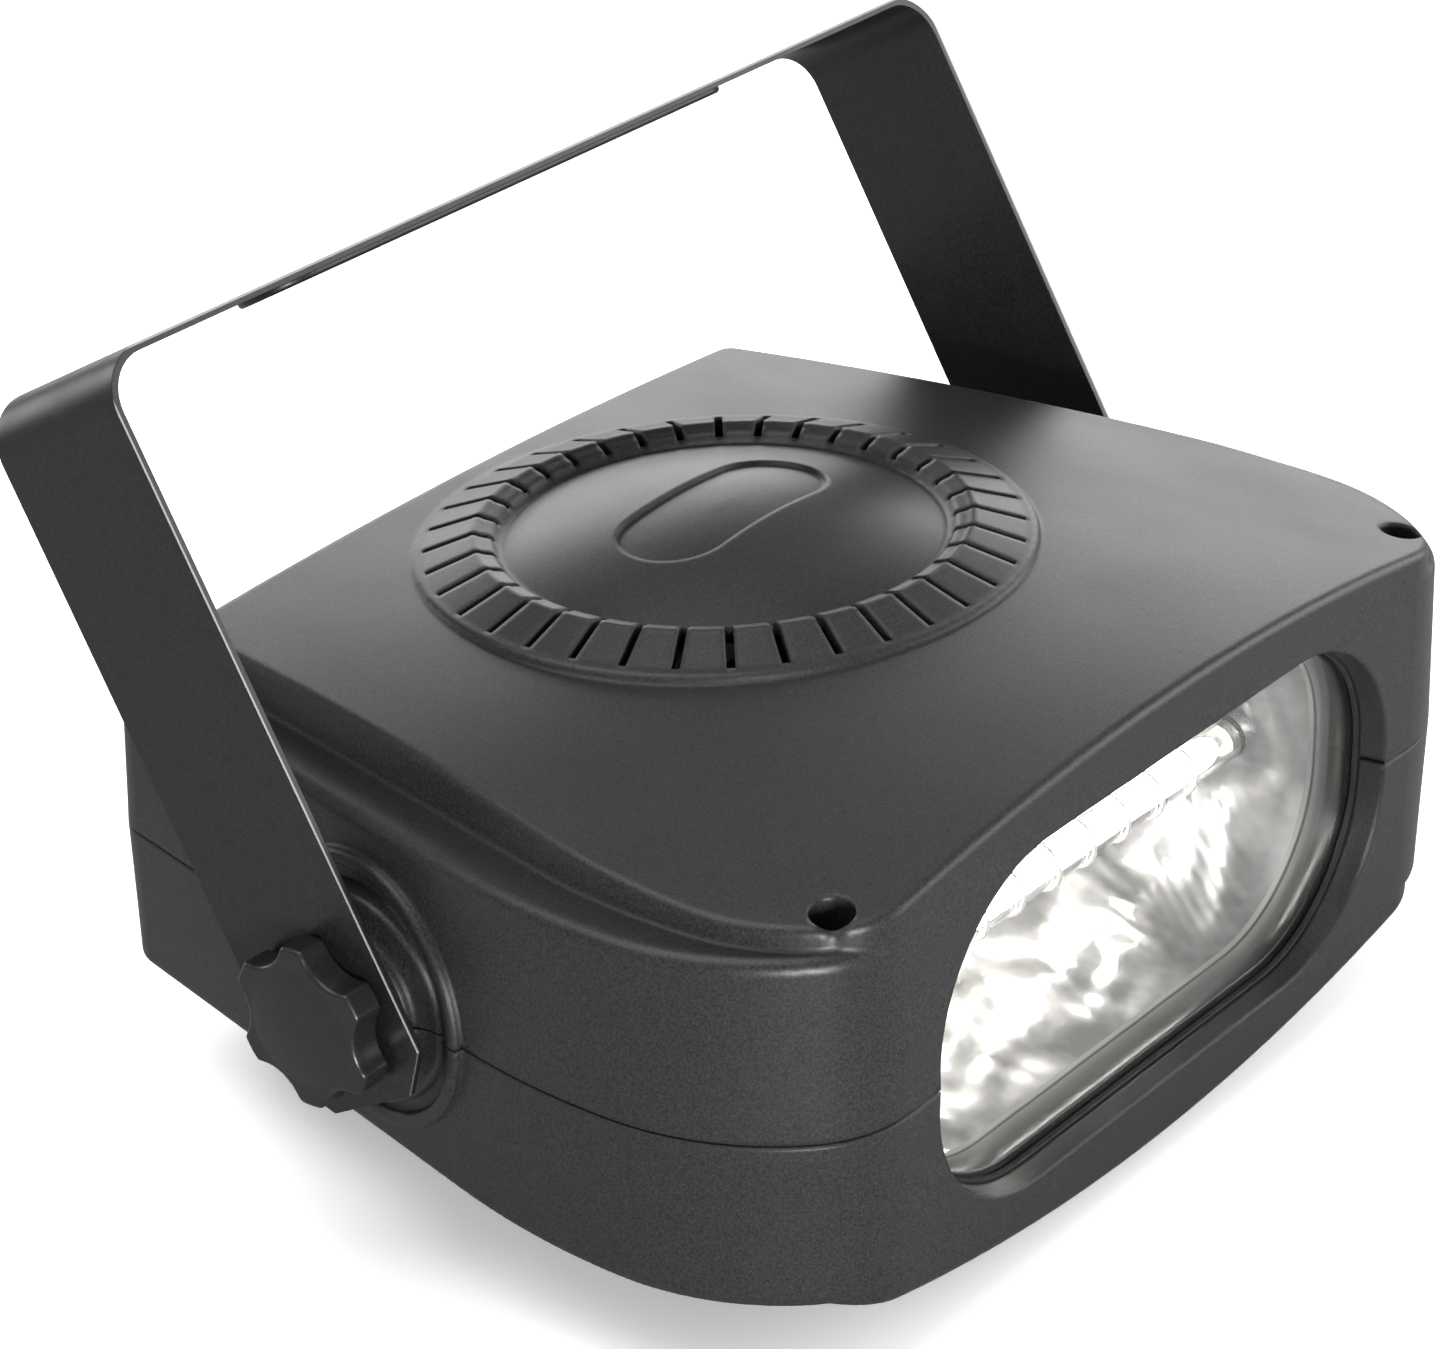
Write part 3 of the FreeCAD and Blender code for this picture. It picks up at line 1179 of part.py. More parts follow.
# ---------------------------------------------------------------- bracket and its clamps
def strap_profile():
    """The yoke seen from the front, upright: outside down one arm, inside back up."""
    def u_line(offset):
        x, z, r = STRAP_X - offset, BAR_REACH - offset, BEND_R - offset
        c = r * (1 - math.sqrt(0.5))
        left = Part.LineSegment(Vector(-x, 0, -ARM_TAIL), Vector(-x, 0, z - r)).toShape()
        left_bend = Part.Arc(Vector(-x, 0, z - r), Vector(-x + c, 0, z - c), Vector(-x + r, 0, z)).toShape()
        bar = Part.LineSegment(Vector(-x + r, 0, z), Vector(x - r, 0, z)).toShape()
        right_bend = Part.Arc(Vector(x - r, 0, z), Vector(x - c, 0, z - c), Vector(x, 0, z - r)).toShape()
        right = Part.LineSegment(Vector(x, 0, z - r), Vector(x, 0, -ARM_TAIL)).toShape()
        return [left, left_bend, bar, right_bend, right]
    outer, inner = u_line(0), u_line(STRAP_T)
    ends = []
    for s in (-1, 1):
        a = Vector(s * STRAP_X, 0, -ARM_TAIL)
        ends.append(Part.LineSegment(a, Vector(s * (STRAP_X - STRAP_T), 0, -ARM_TAIL)).toShape())
    return Part.Wire(Part.__sortEdges__(outer + inner + ends))


def arm_clips():
    """What is cut off the corners of the arms' ends."""
    w, c = STRAP_W / 2, ARM_CLIP
    cuts = []
    for s in (-1, 1):
        points = [Vector(-2 * STRAP_X, s * w, -ARM_TAIL), Vector(-2 * STRAP_X, s * (w - c), -ARM_TAIL),
                  Vector(-2 * STRAP_X, s * w, -ARM_TAIL + c)]
        cuts.append(prism(Part.makePolygon(points + points[:1]), Vector(4 * STRAP_X, 0, 0)))
    return cuts


def bracket():
    """Flat steel yoke with a pressed channel in its bar, tilted to its rest angle."""
    wire = strap_profile()
    wire.translate(Vector(0, -STRAP_W / 2, 0))
    strap = prism(wire, Vector(0, STRAP_W, 0))
    inner_face = BAR_REACH - STRAP_T
    pad = prism(obround(PRESS_LENGTH, PRESS_W, inner_face - PRESS_DEPTH), Vector(0, 0, PRESS_DEPTH))
    pad = pad.makeFillet(0.7, [e for e in pad.Edges if e.BoundBox.ZMax < inner_face - PRESS_DEPTH + 0.01])
    shrink = 2 * STRAP_T
    outline = obround(PRESS_LENGTH - shrink, PRESS_W - shrink, BAR_REACH - PRESS_DEPTH)
    pocket = prism(outline, Vector(0, 0, 10))
    holes = [rod(HANG_HOLE_R, 20, Vector(0, 0, BAR_REACH - 10))]
    for s in (-1, 1):
        holes.append(rod(SIDE_HOLE_R, 20, Vector(s * SIDE_HOLE_PITCH / 2, 0, BAR_REACH - 10)))
    holes.append(rod(STUD_R + 0.25, 4 * STRAP_X, Vector(-2 * STRAP_X, 0, 0), ALONG_X))
    shape = strap.fuse(pad).cut([pocket] + holes + arm_clips())
    shape.rotate(Vector(0, 0, 0), ALONG_X, -TILT)
    return shape


def on_side(shape, s):
    """A right-hand piece, or its mirror image for the left."""
    return shape if s > 0 else mirrored_x(shape)


def friction_washer(s):
    thickness = STRAP_X - STRAP_T - BRACKET_GAP - PIVOT_PAD_X
    return on_side(ring(PIVOT_PAD_R, STUD_R + 0.3, thickness, Vector(PIVOT_PAD_X, 0, 0), ALONG_X), s)


def pivot_nut(s):
    """Hexagon nut held between the half bosses."""
    nut = hexagon(INSERT_AF, INSERT_T, Vector(INSERT_X, 0, 0), ALONG_X)
    return on_side(nut.cut(rod(STUD_R + RUN, INSERT_T, Vector(INSERT_X, 0, 0), ALONG_X)), s)


KNOB_WASHER_X = STRAP_X + BRACKET_GAP
KNOB_X = KNOB_WASHER_X + KNOB_WASHER_T


def knob_washer(s):
    return on_side(ring(KNOB_WASHER_R, STUD_R + 0.1, KNOB_WASHER_T, Vector(KNOB_WASHER_X, 0, 0), ALONG_X), s)


def clamp_stud(s):
    """Threaded stud moulded into the knob."""
    end = KNOB_X + KNOB_T - 2.0
    return on_side(rod(STUD_R, STUD_LENGTH, Vector(end - STUD_LENGTH, 0, 0), ALONG_X), s)


def clamp_knob(s):
    """Six-lobed knob with rounded lobes and a slightly domed face."""
    body = rod(KNOB_R, KNOB_T, Vector(KNOB_X, 0, 0), ALONG_X)
    centre_r = KNOB_WAIST_R + KNOB_SCALLOP_R
    cuts = []
    for i in range(KNOB_LOBES):
        a = math.radians(KNOB_PHASE + 360.0 * (i + 0.5) / KNOB_LOBES)
        place = Vector(KNOB_X - 1, centre_r * math.cos(a), centre_r * math.sin(a))
        cuts.append(rod(KNOB_SCALLOP_R, KNOB_T + 2, place, ALONG_X))
    body = body.cut(cuts)
    along = [e for e in body.Edges if e.BoundBox.XLength > KNOB_T - 0.1 and e.BoundBox.YLength < 0.1]
    body = body.makeFillet(1.8, along)
    ball_r = (KNOB_R ** 2 + KNOB_DOME ** 2) / (2 * KNOB_DOME)
    body = body.common(Part.makeSphere(ball_r, Vector(KNOB_X + KNOB_T - ball_r, 0, 0)))
    rim = [e for e in body.Edges if e.BoundBox.XMin > KNOB_X + KNOB_T / 2]
    body = body.makeFillet(0.7, rim)
    hole = rod(STUD_R, KNOB_T - 2.0, Vector(KNOB_X, 0, 0), ALONG_X)
    return on_side(body.cut(hole), s)


# ---------------------------------------------------------------- writing
def pieces():
    """Every piece by its node name."""
    made = {
        "top_shell": top_shell(), "bottom_shell": bottom_shell(), "rubber_feet": feet(),
        "case_screws": case_screws(), "front_lens": front_lens(), "lens_gasket": lens_gasket(),
        "reflector": reflector(), "flash_tube": flash_tube(), "trigger_wire": trigger_wire(),
        "circuit_board": circuit_board(), "board_screws": board_screws(),
        "storage_capacitors": storage_capacitors(), "trigger_transformer": trigger_transformer(),
        "power_resistor": power_resistor(), "heat_sink": heat_sink(), "thyristor": thyristor(),
        "terminal_block": terminal_block(), "rear_panel": rear_panel(),
        "rate_potentiometer": rate_potentiometer(), "rate_nut": rate_nut(), "rate_shaft": rate_shaft(),
        "rate_knob": rate_knob(), "fuse_holder": fuse_holder(),
        "fuse_nut": flat_nut(FUSE_NUT_AF, FUSE_BODY_R, FUSE_X),
        "fuse_cap": fuse_cap(), "fuse": fuse(), "gland_body": gland_body(),
        "gland_lock_nut": flat_nut(GLAND_NUT_AF, GLAND_THREAD_R, GLAND_X), "gland_seal": gland_seal(),
        "gland_dome_nut": gland_dome_nut(),
        "bracket": bracket(),
    }
    for side, s in (("left", -1), ("right", 1)):
        made[side + "_electrode"] = electrode(s)
        made[side + "_tube_holder"] = tube_holder(s)
        made[side + "_tube_lead"] = tube_lead(s)
        made[side + "_friction_washer"] = friction_washer(s)
        made[side + "_pivot_nut"] = pivot_nut(s)
        made[side + "_knob_washer"] = knob_washer(s)
        made[side + "_clamp_stud"] = clamp_stud(s)
        made[side + "_clamp_knob"] = clamp_knob(s)
    return made


os.makedirs("parts", exist_ok=True)
for name, shape in pieces().items():
    shape.translate(Vector(0, 0, SEAM_Z))
    shape.exportStep("parts/" + name + ".step")
    box = shape.BoundBox
    print("%-22s solids %d valid %s volume %.1f  x %.1f..%.1f y %.1f..%.1f z %.1f..%.1f" % (
        name, len(shape.Solids), shape.isValid(), shape.Volume, box.XMin, box.XMax, box.YMin, box.YMax,
        box.ZMin, box.ZMax))
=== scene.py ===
import json
import math

import bpy
import numpy as np
from mathutils import Matrix, Vector


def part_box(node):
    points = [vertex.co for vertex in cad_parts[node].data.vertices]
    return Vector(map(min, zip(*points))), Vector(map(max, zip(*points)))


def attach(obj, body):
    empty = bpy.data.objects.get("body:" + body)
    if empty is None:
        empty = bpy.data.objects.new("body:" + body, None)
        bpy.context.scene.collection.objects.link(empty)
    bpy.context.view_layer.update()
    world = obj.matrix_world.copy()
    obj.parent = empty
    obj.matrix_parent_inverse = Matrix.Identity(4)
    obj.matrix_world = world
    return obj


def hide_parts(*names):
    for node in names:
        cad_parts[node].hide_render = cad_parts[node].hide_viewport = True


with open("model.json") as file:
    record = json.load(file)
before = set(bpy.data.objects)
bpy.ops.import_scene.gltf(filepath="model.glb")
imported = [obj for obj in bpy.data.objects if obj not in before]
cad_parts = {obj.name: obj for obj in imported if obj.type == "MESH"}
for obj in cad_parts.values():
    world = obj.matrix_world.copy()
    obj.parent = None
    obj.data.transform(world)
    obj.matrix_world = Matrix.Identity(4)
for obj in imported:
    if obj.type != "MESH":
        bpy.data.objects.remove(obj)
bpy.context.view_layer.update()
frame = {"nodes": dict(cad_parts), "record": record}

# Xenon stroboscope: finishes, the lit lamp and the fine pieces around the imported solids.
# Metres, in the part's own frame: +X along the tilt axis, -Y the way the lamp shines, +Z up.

NODES = frame["nodes"]
RECORD = frame["record"]
MM = 0.001


# ---------------------------------------------------------------- where things are, from the solids
def span(node):
    """Lowest and highest corner of a solid, as arrays."""
    low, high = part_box(node)
    return np.array(low), np.array(high)


TUBE_LOW, TUBE_HIGH = span("flash_tube")
TUBE_CENTRE = (TUBE_LOW + TUBE_HIGH) / 2
TUBE_R = (TUBE_HIGH[2] - TUBE_LOW[2]) / 2
BOWL_LOW, BOWL_HIGH = span("reflector")
SEAM_Z = TUBE_CENTRE[2]
STRAP_X = span("bracket")[1][0]

# ---------------------------------------------------------------- sizes and lights of the fine pieces
BRACKET_TILT = math.radians(31.2)
STRAP_REACH = 101.0 * MM     # from the pivot to the outside of the bracket's bar
# Painted highlight on the bracket's cut edges, not bare metal: where it starts and where it is full, and
# its grey.
EDGE_HIGHLIGHT_START = 1 - 0.0045      # share of the strap's reach at which the painted highlight begins
EDGE_HIGHLIGHT_FULL = 1 - 0.0025
EDGE_HIGHLIGHT_TONE = 0.34

ARC_SHARE = 0.7              # of the tube's radius
ARC_END = 3.5 * MM           # dark length at each end of the tube
ARC_COLOUR = (1.0, 0.982, 0.94)
ARC_LIGHT = 13.0
# Painted glow of the trigger wire, standing in for the arc's light falling on it.
WIRE_PAINTED_GLOW = 0.4

BOWL_START = BOWL_HIGH[1] - 38.8 * MM
BOWL_DEPTH = 37.4 * MM
BOWL_EDGE = 2.8 * MM         # flange outside the bowl's rim
BOWL_CORNER = 25.4 * MM
BOWL_CORNER_SHARE = 0.94     # most of half the height that a corner takes
BOWL_TAPER = 0.93
BOWL_SIDE_TAPER = 0.75       # what half the width loses, as a share of what half the height loses
BOWL_WALL = 0.5 * MM
FLUTES_AT = 118.0            # millimetres along the rim, from the middle of its left end

COLLAR_EDGE = 3.1 * MM
COLLAR_CORNER = 25.0 * MM
COLLAR_T = 0.7 * MM
COLLAR_GAP = 0.05 * MM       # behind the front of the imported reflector
COLLAR_LAP = 0.6 * MM        # past the rim of the bowl

KNOB_LOBES = 6
KNOB_PHASE = math.radians(24.5)
KNOB_R = 13.2 * MM
KNOB_WAIST_R = 10.6 * MM
SCOOP_R = 7.0 * MM
KNOB_BLEND = 0.3 * MM        # softness of the corner between lobe and hollow
KNOB_CHAMFER = 0.15 * MM
KNOB_ROUND = 0.8 * MM
DOME_R = 9.7 * MM
DOME_DROP = 0.9 * MM
LOBE_SLOPE = 0.03


# ---------------------------------------------------------------- helpers for finishes
def new_finish(name, colour, roughness, **sockets):
    """A Principled material; sockets are further shader inputs by name, with _ for a space."""
    material = bpy.data.materials.new(name)
    material.use_nodes = True
    shader = material.node_tree.nodes["Principled BSDF"]
    shader.inputs["Base Color"].default_value = (*colour, 1.0)
    shader.inputs["Roughness"].default_value = roughness
    for socket, value in sockets.items():
        shader.inputs[socket.replace("_", " ")].default_value = value
    return material


def shader_of(material):
    """The material's Principled shader."""
    return material.node_tree.nodes["Principled BSDF"]


def add_node(material, kind, **inputs):
    """A node with its sockets set by name."""
    node = material.node_tree.nodes.new(kind)
    for socket, value in inputs.items():
        node.inputs[socket.replace("_", " ")].default_value = value
    return node


def link(material, output, socket):
    """Join an output to a socket."""
    material.node_tree.links.new(output, socket)


def stretched(material, stretch):
    """Object coordinates, stretched along each axis."""
    where = add_node(material, "ShaderNodeTexCoord")
    mapping = add_node(material, "ShaderNodeMapping", Scale=stretch)
    link(material, where.outputs["Object"], mapping.inputs["Vector"])
    return mapping.outputs["Vector"]


def noise(material, size, detail=2.0, stretch=(1, 1, 1)):
    """Noise with features of the given size in metres."""
    texture = add_node(material, "ShaderNodeTexNoise", Scale=1 / size, Detail=detail, Roughness=0.55)
    link(material, stretched(material, stretch), texture.inputs["Vector"])
    return texture.outputs["Fac"]


def ranged(material, value, low, high, start=0.3, end=0.7):
    """A texture's value between start and end, spread from low to high."""
    node = add_node(material, "ShaderNodeMapRange", From_Min=start, From_Max=end, To_Min=low, To_Max=high)
    link(material, value, node.inputs["Value"])
    return node.outputs["Result"]


def tint(material, value, dark, light, start=0.3, end=0.7):
    """Base colour that goes from dark to light with a texture."""
    ramp = add_node(material, "ShaderNodeValToRGB")
    ramp.color_ramp.elements[0].position = start
    ramp.color_ramp.elements[1].position = end
    ramp.color_ramp.elements[0].color = (*dark, 1.0)
    ramp.color_ramp.elements[1].color = (*light, 1.0)
    link(material, value, ramp.inputs["Fac"])
    link(material, ramp.outputs["Color"], shader_of(material).inputs["Base Color"])
    return ramp


def relief(material, layers, edge=0.0):
    """Bumps one on another: (texture, depth in metres), over edges softened by a radius."""
    normal = None
    if edge:
        bevel = add_node(material, "ShaderNodeBevel", Radius=edge)
        bevel.samples = 6
        normal = bevel.outputs["Normal"]
    for value, depth in layers:
        bump = add_node(material, "ShaderNodeBump", Strength=1.0, Distance=depth)
        link(material, value, bump.inputs["Height"])
        if normal:
            link(material, normal, bump.inputs["Normal"])
        normal = bump.outputs["Normal"]
    link(material, normal, shader_of(material).inputs["Normal"])


def operate(material, kind, first, second=None):
    """A Math node; each input is another node's output or a number."""
    node = add_node(material, "ShaderNodeMath")
    node.operation = kind
    for socket, value in zip(node.inputs, (first, second)):
        if hasattr(value, "links"):
            link(material, value, socket)
        elif value is not None:
            socket.default_value = value
    return node.outputs[0]


def along(material, output, direction):
    """How far a coordinate or normal goes along a direction."""
    dot = add_node(material, "ShaderNodeVectorMath")
    dot.operation = "DOT_PRODUCT"
    dot.inputs[1].default_value = direction
    link(material, output, dot.inputs[0])
    return dot.outputs["Value"]


def blend(material, factor, first, second):
    """A mix from first to second by the factor; first is another node's output or a colour."""
    mix = add_node(material, "ShaderNodeMix")
    mix.data_type = "RGBA"
    link(material, factor, mix.inputs["Factor"])
    if hasattr(first, "links"):
        link(material, first, mix.inputs["A"])
    else:
        mix.inputs["A"].default_value = (*first, 1)
    mix.inputs["B"].default_value = (*second, 1)
    return mix.outputs["Result"]


def roughness_from(material, output):
    """Roughness that follows a texture."""
    link(material, output, shader_of(material).inputs["Roughness"])


def glow_like_arc(material, strength):
    """Light in the arc's colour."""
    shader_of(material).inputs["Emission Color"].default_value = (*ARC_COLOUR, 1)
    shader_of(material).inputs["Emission Strength"].default_value = strength


def grey(value):
    """Equal red, green and blue."""
    return (value, value, value)


def shade(colour, factor):
    """A colour made darker or lighter, up to full."""
    return tuple(min(1, c * factor) for c in colour)


# ---------------------------------------------------------------- one function for each kind of finish
def spark_grained_plastic():
    """Dark satin moulding with a fine spark-eroded grain and faint flow marks."""
    material = new_finish("shell_plastic", grey(0.03), 0.42, IOR=1.5)
    grain = noise(material, 0.4 * MM, 2.0)
    flow = noise(material, 22 * MM, 2.0, (1.0, 0.5, 1.0))
    tint(material, grain, grey(0.007), grey(0.033))
    roughness_from(material, ranged(material, flow, 0.35, 0.41))
    relief(material, [(grain, 0.016 * MM), (noise(material, 1.6 * MM, 1.0), 0.012 * MM)], 1.3 * MM)
    return material


def powder_coat(name, value, roughness):
    """Baked powder on steel with a fine orange peel."""
    material = new_finish(name, grey(value), roughness)
    peel = noise(material, 0.5 * MM, 2.0)
    tint(material, peel, grey(value * 0.5), grey(value * 1.6))
    patches = noise(material, 9 * MM)
    roughness_from(material, ranged(material, patches, roughness - 0.04, roughness + 0.05))
    relief(material, [(peel, 0.012 * MM)], 0.25 * MM)
    return material


def strap_coat_with_painted_highlight():
    """Powder coat of the bracket, with a painted highlight: a thin bright line along the outer corner of
    its cut edges.

    The cut edges are known by their normal, and the line by how near it lies to the strap's outside.
    """
    material = powder_coat("bracket_paint", 0.011, 0.36)
    coat = shader_of(material).inputs["Base Color"].links[0].from_socket
    where = add_node(material, "ShaderNodeTexCoord")
    upright = Vector((0, math.sin(BRACKET_TILT), math.cos(BRACKET_TILT)))
    edge_on = along(material, where.outputs["Normal"], (0, upright.z, -upright.y))
    cut_edge = ranged(material, operate(material, "ABSOLUTE", edge_on), 0, 1, 0.6, 0.9)
    across = operate(material, "ABSOLUTE", along(material, where.outputs["Object"], (1 / STRAP_X, 0, 0)))
    pivot_height = SEAM_Z * upright.z
    height = along(material, where.outputs["Object"], upright / STRAP_REACH)
    above = operate(material, "SUBTRACT", height, pivot_height / STRAP_REACH)
    outer = ranged(material, operate(material, "MAXIMUM", across, above), 0, 1, EDGE_HIGHLIGHT_START, EDGE_HIGHLIGHT_FULL)
    # Painted highlight: the outer corner of the cut edges turns light grey, standing in for light caught by
    # the edge.
    painted_highlight = operate(material, "MULTIPLY", cut_edge, outer)
    link(material, blend(material, painted_highlight, coat, grey(EDGE_HIGHLIGHT_TONE)), shader_of(material).inputs["Base Color"])
    return material


def gloss_moulding(name, colour, roughness):
    """Polished moulding with slight waviness and handling marks in its gloss."""
    material = new_finish(name, colour, roughness, IOR=1.5)
    fine = noise(material, 0.8 * MM, 3.0)
    tint(material, fine, shade(colour, 0.85), shade(colour, 1.2))
    roughness_from(material, ranged(material, noise(material, 4 * MM), roughness * 0.8, roughness * 1.3))
    relief(material, [(fine, 0.006 * MM), (noise(material, 5 * MM, 1.0), 0.02 * MM)], 0.3 * MM)
    return material


def drawn_metal(name, colour, roughness, stretch):
    """Bare metal with fine lines along its drawing or turning direction."""
    material = new_finish(name, colour, roughness, Metallic=1.0)
    lines = noise(material, 0.35 * MM, 3.0, stretch)
    tint(material, lines, shade(colour, 0.82), shade(colour, 1.08))
    roughness_from(material, ranged(material, lines, roughness * 0.8, roughness * 1.3))
    relief(material, [(lines, 0.004 * MM)], 0.15 * MM)
    return material


def soft_rubber(name, value):
    """Matt rubber with a dusty bloom."""
    material = new_finish(name, grey(value), 0.75, IOR=1.45)
    bloom = noise(material, 2.5 * MM, 4.0)
    tint(material, bloom, grey(value), grey(value * 2.2))
    relief(material, [(noise(material, 0.4 * MM), 0.02 * MM)], 0.2 * MM)
    return material


def clear_sheet(name):
    """Clear polished plate with hair-fine marks; its side faces are black and opaque instead of clear."""
    clear = (0.985, 0.985, 0.98)
    material = new_finish(name, clear, 0.0, IOR=1.46, Transmission_Weight=1.0)
    marks = noise(material, 3 * MM, 4.0, (1.0, 1.0, 0.15))
    roughness_from(material, ranged(material, marks, 0.0, 0.02, 0.5, 0.8))
    relief(material, [(noise(material, 14 * MM, 1.0), 0.04 * MM)])
    where = add_node(material, "ShaderNodeTexCoord")
    facing = operate(material, "ABSOLUTE", along(material, where.outputs["Normal"], (0, 1, 0)))
    # Side faces, lying across Y, are black and opaque, which stops the light they would carry.
    tint(material, facing, grey(0.01), clear, 0.3, 0.5)
    link(material, ranged(material, facing, 0, 1), shader_of(material).inputs["Transmission Weight"])
    return material


def bright_lacquered():
    """Metallised lamp bowl: satin metal that spreads the light, under a clear lacquer that mirrors it."""
    material = new_finish("reflector_bright", grey(0.5), 0.5, Metallic=1.0,
                          Coat_Weight=1.0, Coat_Roughness=0.01, Coat_IOR=1.85)
    haze = noise(material, 13 * MM, 3.0)
    tint(material, haze, grey(0.26), grey(0.62), 0.38, 0.62)
    roughness_from(material, ranged(material, haze, 0.55, 0.34))
    relief(material, [(noise(material, 3.0 * MM, 2.0), 0.03 * MM)])
    return material


def collar_with_painted_shading():
    """Edge of the lamp bowl with painted light and shade: dark in front, bright towards the bowl, with a
    painted dark line beside the rim.
    """
    material = new_finish("collar_painted_shading", grey(0.2), 0.3, Metallic=0.6, Coat_Weight=0.5, Coat_Roughness=0.1)
    where = add_node(material, "ShaderNodeTexCoord")
    depth = along(material, where.outputs["Object"], (0, 1, 0))
    share = ranged(material, depth, 0, 1, BOWL_LOW[1], BOWL_START)
    # Painted light and shade: grey from dark at the front to bright towards the bowl, then a painted dark
    # band and the brightest grey at the rim.
    ramp = tint(material, share, grey(0.03), grey(0.85), 0.1, 0.97)
    for stop, value in ((0.35, 0.05), (0.62, 0.16), (0.84, 0.42), (0.88, 0.04), (0.92, 0.04)):
        ramp.color_ramp.elements.new(stop).color = (*grey(value), 1)
    fine = noise(material, 0.6 * MM, 3.0)
    broad = noise(material, 7 * MM, 2.0)
    relief(material, [(fine, 0.02 * MM), (broad, 0.15 * MM)])
    return material


def quartz(name):
    """Clear drawn tube."""
    material = new_finish(name, (1.0, 0.99, 0.97), 0.02, IOR=1.46, Transmission_Weight=1.0)
    relief(material, [(noise(material, 3 * MM, 1.0, (0.2, 1, 1)), 0.01 * MM)])
    return material


def fired_ceramic(name, colour):
    """Unglazed ceramic with specks."""
    material = new_finish(name, colour, 0.7)
    specks = noise(material, 0.7 * MM, 3.0)
    tint(material, specks, shade(colour, 0.8), colour, 0.35, 0.5)
    relief(material, [(specks, 0.03 * MM)], 0.2 * MM)
    return material


def board_laminate():
    """Green solder mask over glass weave."""
    material = new_finish("board_laminate", (0.03, 0.14, 0.06), 0.35)
    weave = noise(material, 0.6 * MM, 1.0)
    tint(material, weave, (0.02, 0.11, 0.045), (0.035, 0.17, 0.07))
    relief(material, [(weave, 0.01 * MM)], 0.1 * MM)
    return material


def plain_moulding(name, colour, roughness=0.5):
    """Matt or satin small moulding with a fine grain."""
    material = new_finish(name, colour, roughness)
    grain = noise(material, 0.5 * MM, 2.0)
    tint(material, grain, shade(colour, 0.8), shade(colour, 1.15))
    relief(material, [(grain, 0.012 * MM)], 0.2 * MM)
    return material


def wire_with_painted_glow():
    """Trigger wire with a painted glow in the arc's colour, standing in for the arc's light on it."""
    material = drawn_metal("trigger_wire_metal", (0.85, 0.84, 0.8), 0.3, (0.2, 1, 1))
    # Painted light: the wire glows in the arc's colour.
    glow_like_arc(material, WIRE_PAINTED_GLOW)
    return material


FINISHES = {
    "shell_plastic": spark_grained_plastic(),
    "lens_clear": clear_sheet("lens_clear"),
    "seal_rubber": soft_rubber("seal_rubber", 0.012),
    "reflector_bright": bright_lacquered(),
    "tube_glass": quartz("tube_glass"),
    "electrode_metal": drawn_metal("electrode_metal", (0.62, 0.61, 0.6), 0.25, (1, 6, 6)),
    "holder_ceramic": fired_ceramic("holder_ceramic", (0.72, 0.7, 0.66)),
    "trigger_wire_metal": wire_with_painted_glow(),
    "lead_insulation": plain_moulding("lead_insulation", (0.4, 0.03, 0.02), 0.45),
    "board_laminate": board_laminate(),
    "screw_steel": drawn_metal("screw_steel", (0.2, 0.2, 0.21), 0.38, (1, 1, 0.3)),
    "capacitor_sleeve": plain_moulding("capacitor_sleeve", (0.02, 0.035, 0.1), 0.3),
    "transformer_resin": plain_moulding("transformer_resin", grey(0.03), 0.35),
    "resistor_ceramic": fired_ceramic("resistor_ceramic", (0.75, 0.74, 0.7)),
    "heat_sink_metal": drawn_metal("heat_sink_metal", (0.18, 0.18, 0.19), 0.4, (1, 1, 0.1)),
    "device_resin": plain_moulding("device_resin", grey(0.02)),
    "terminal_plastic": plain_moulding("terminal_plastic", (0.04, 0.12, 0.35), 0.4),
    "panel_paint": powder_coat("panel_paint", 0.028, 0.45),
    "potentiometer_metal": drawn_metal("potentiometer_metal", grey(0.5), 0.3, (1, 0.2, 1)),
    "nut_steel": drawn_metal("nut_steel", (0.62, 0.62, 0.63), 0.25, (0.3, 1, 1)),
    "shaft_metal": drawn_metal("shaft_metal", (0.7, 0.7, 0.71), 0.25, (1, 0.2, 1)),
    "knob_plastic": gloss_moulding("knob_plastic", grey(0.014), 0.3),
    "fuse_holder_plastic": gloss_moulding("fuse_holder_plastic", grey(0.014), 0.35),
    "fuse_glass": quartz("fuse_glass"),
    "gland_plastic": plain_moulding("gland_plastic", grey(0.022), 0.42),
    "bracket_paint": strap_coat_with_painted_highlight(),
    "washer_fibre": plain_moulding("washer_fibre", grey(0.02), 0.6),
    "foot_rubber": soft_rubber("foot_rubber", 0.014),
}
for part in RECORD["subparts"]:
    solid = NODES[part["node"]]
    solid.data.materials.clear()
    solid.data.materials.append(FINISHES[part["material_slot"]])


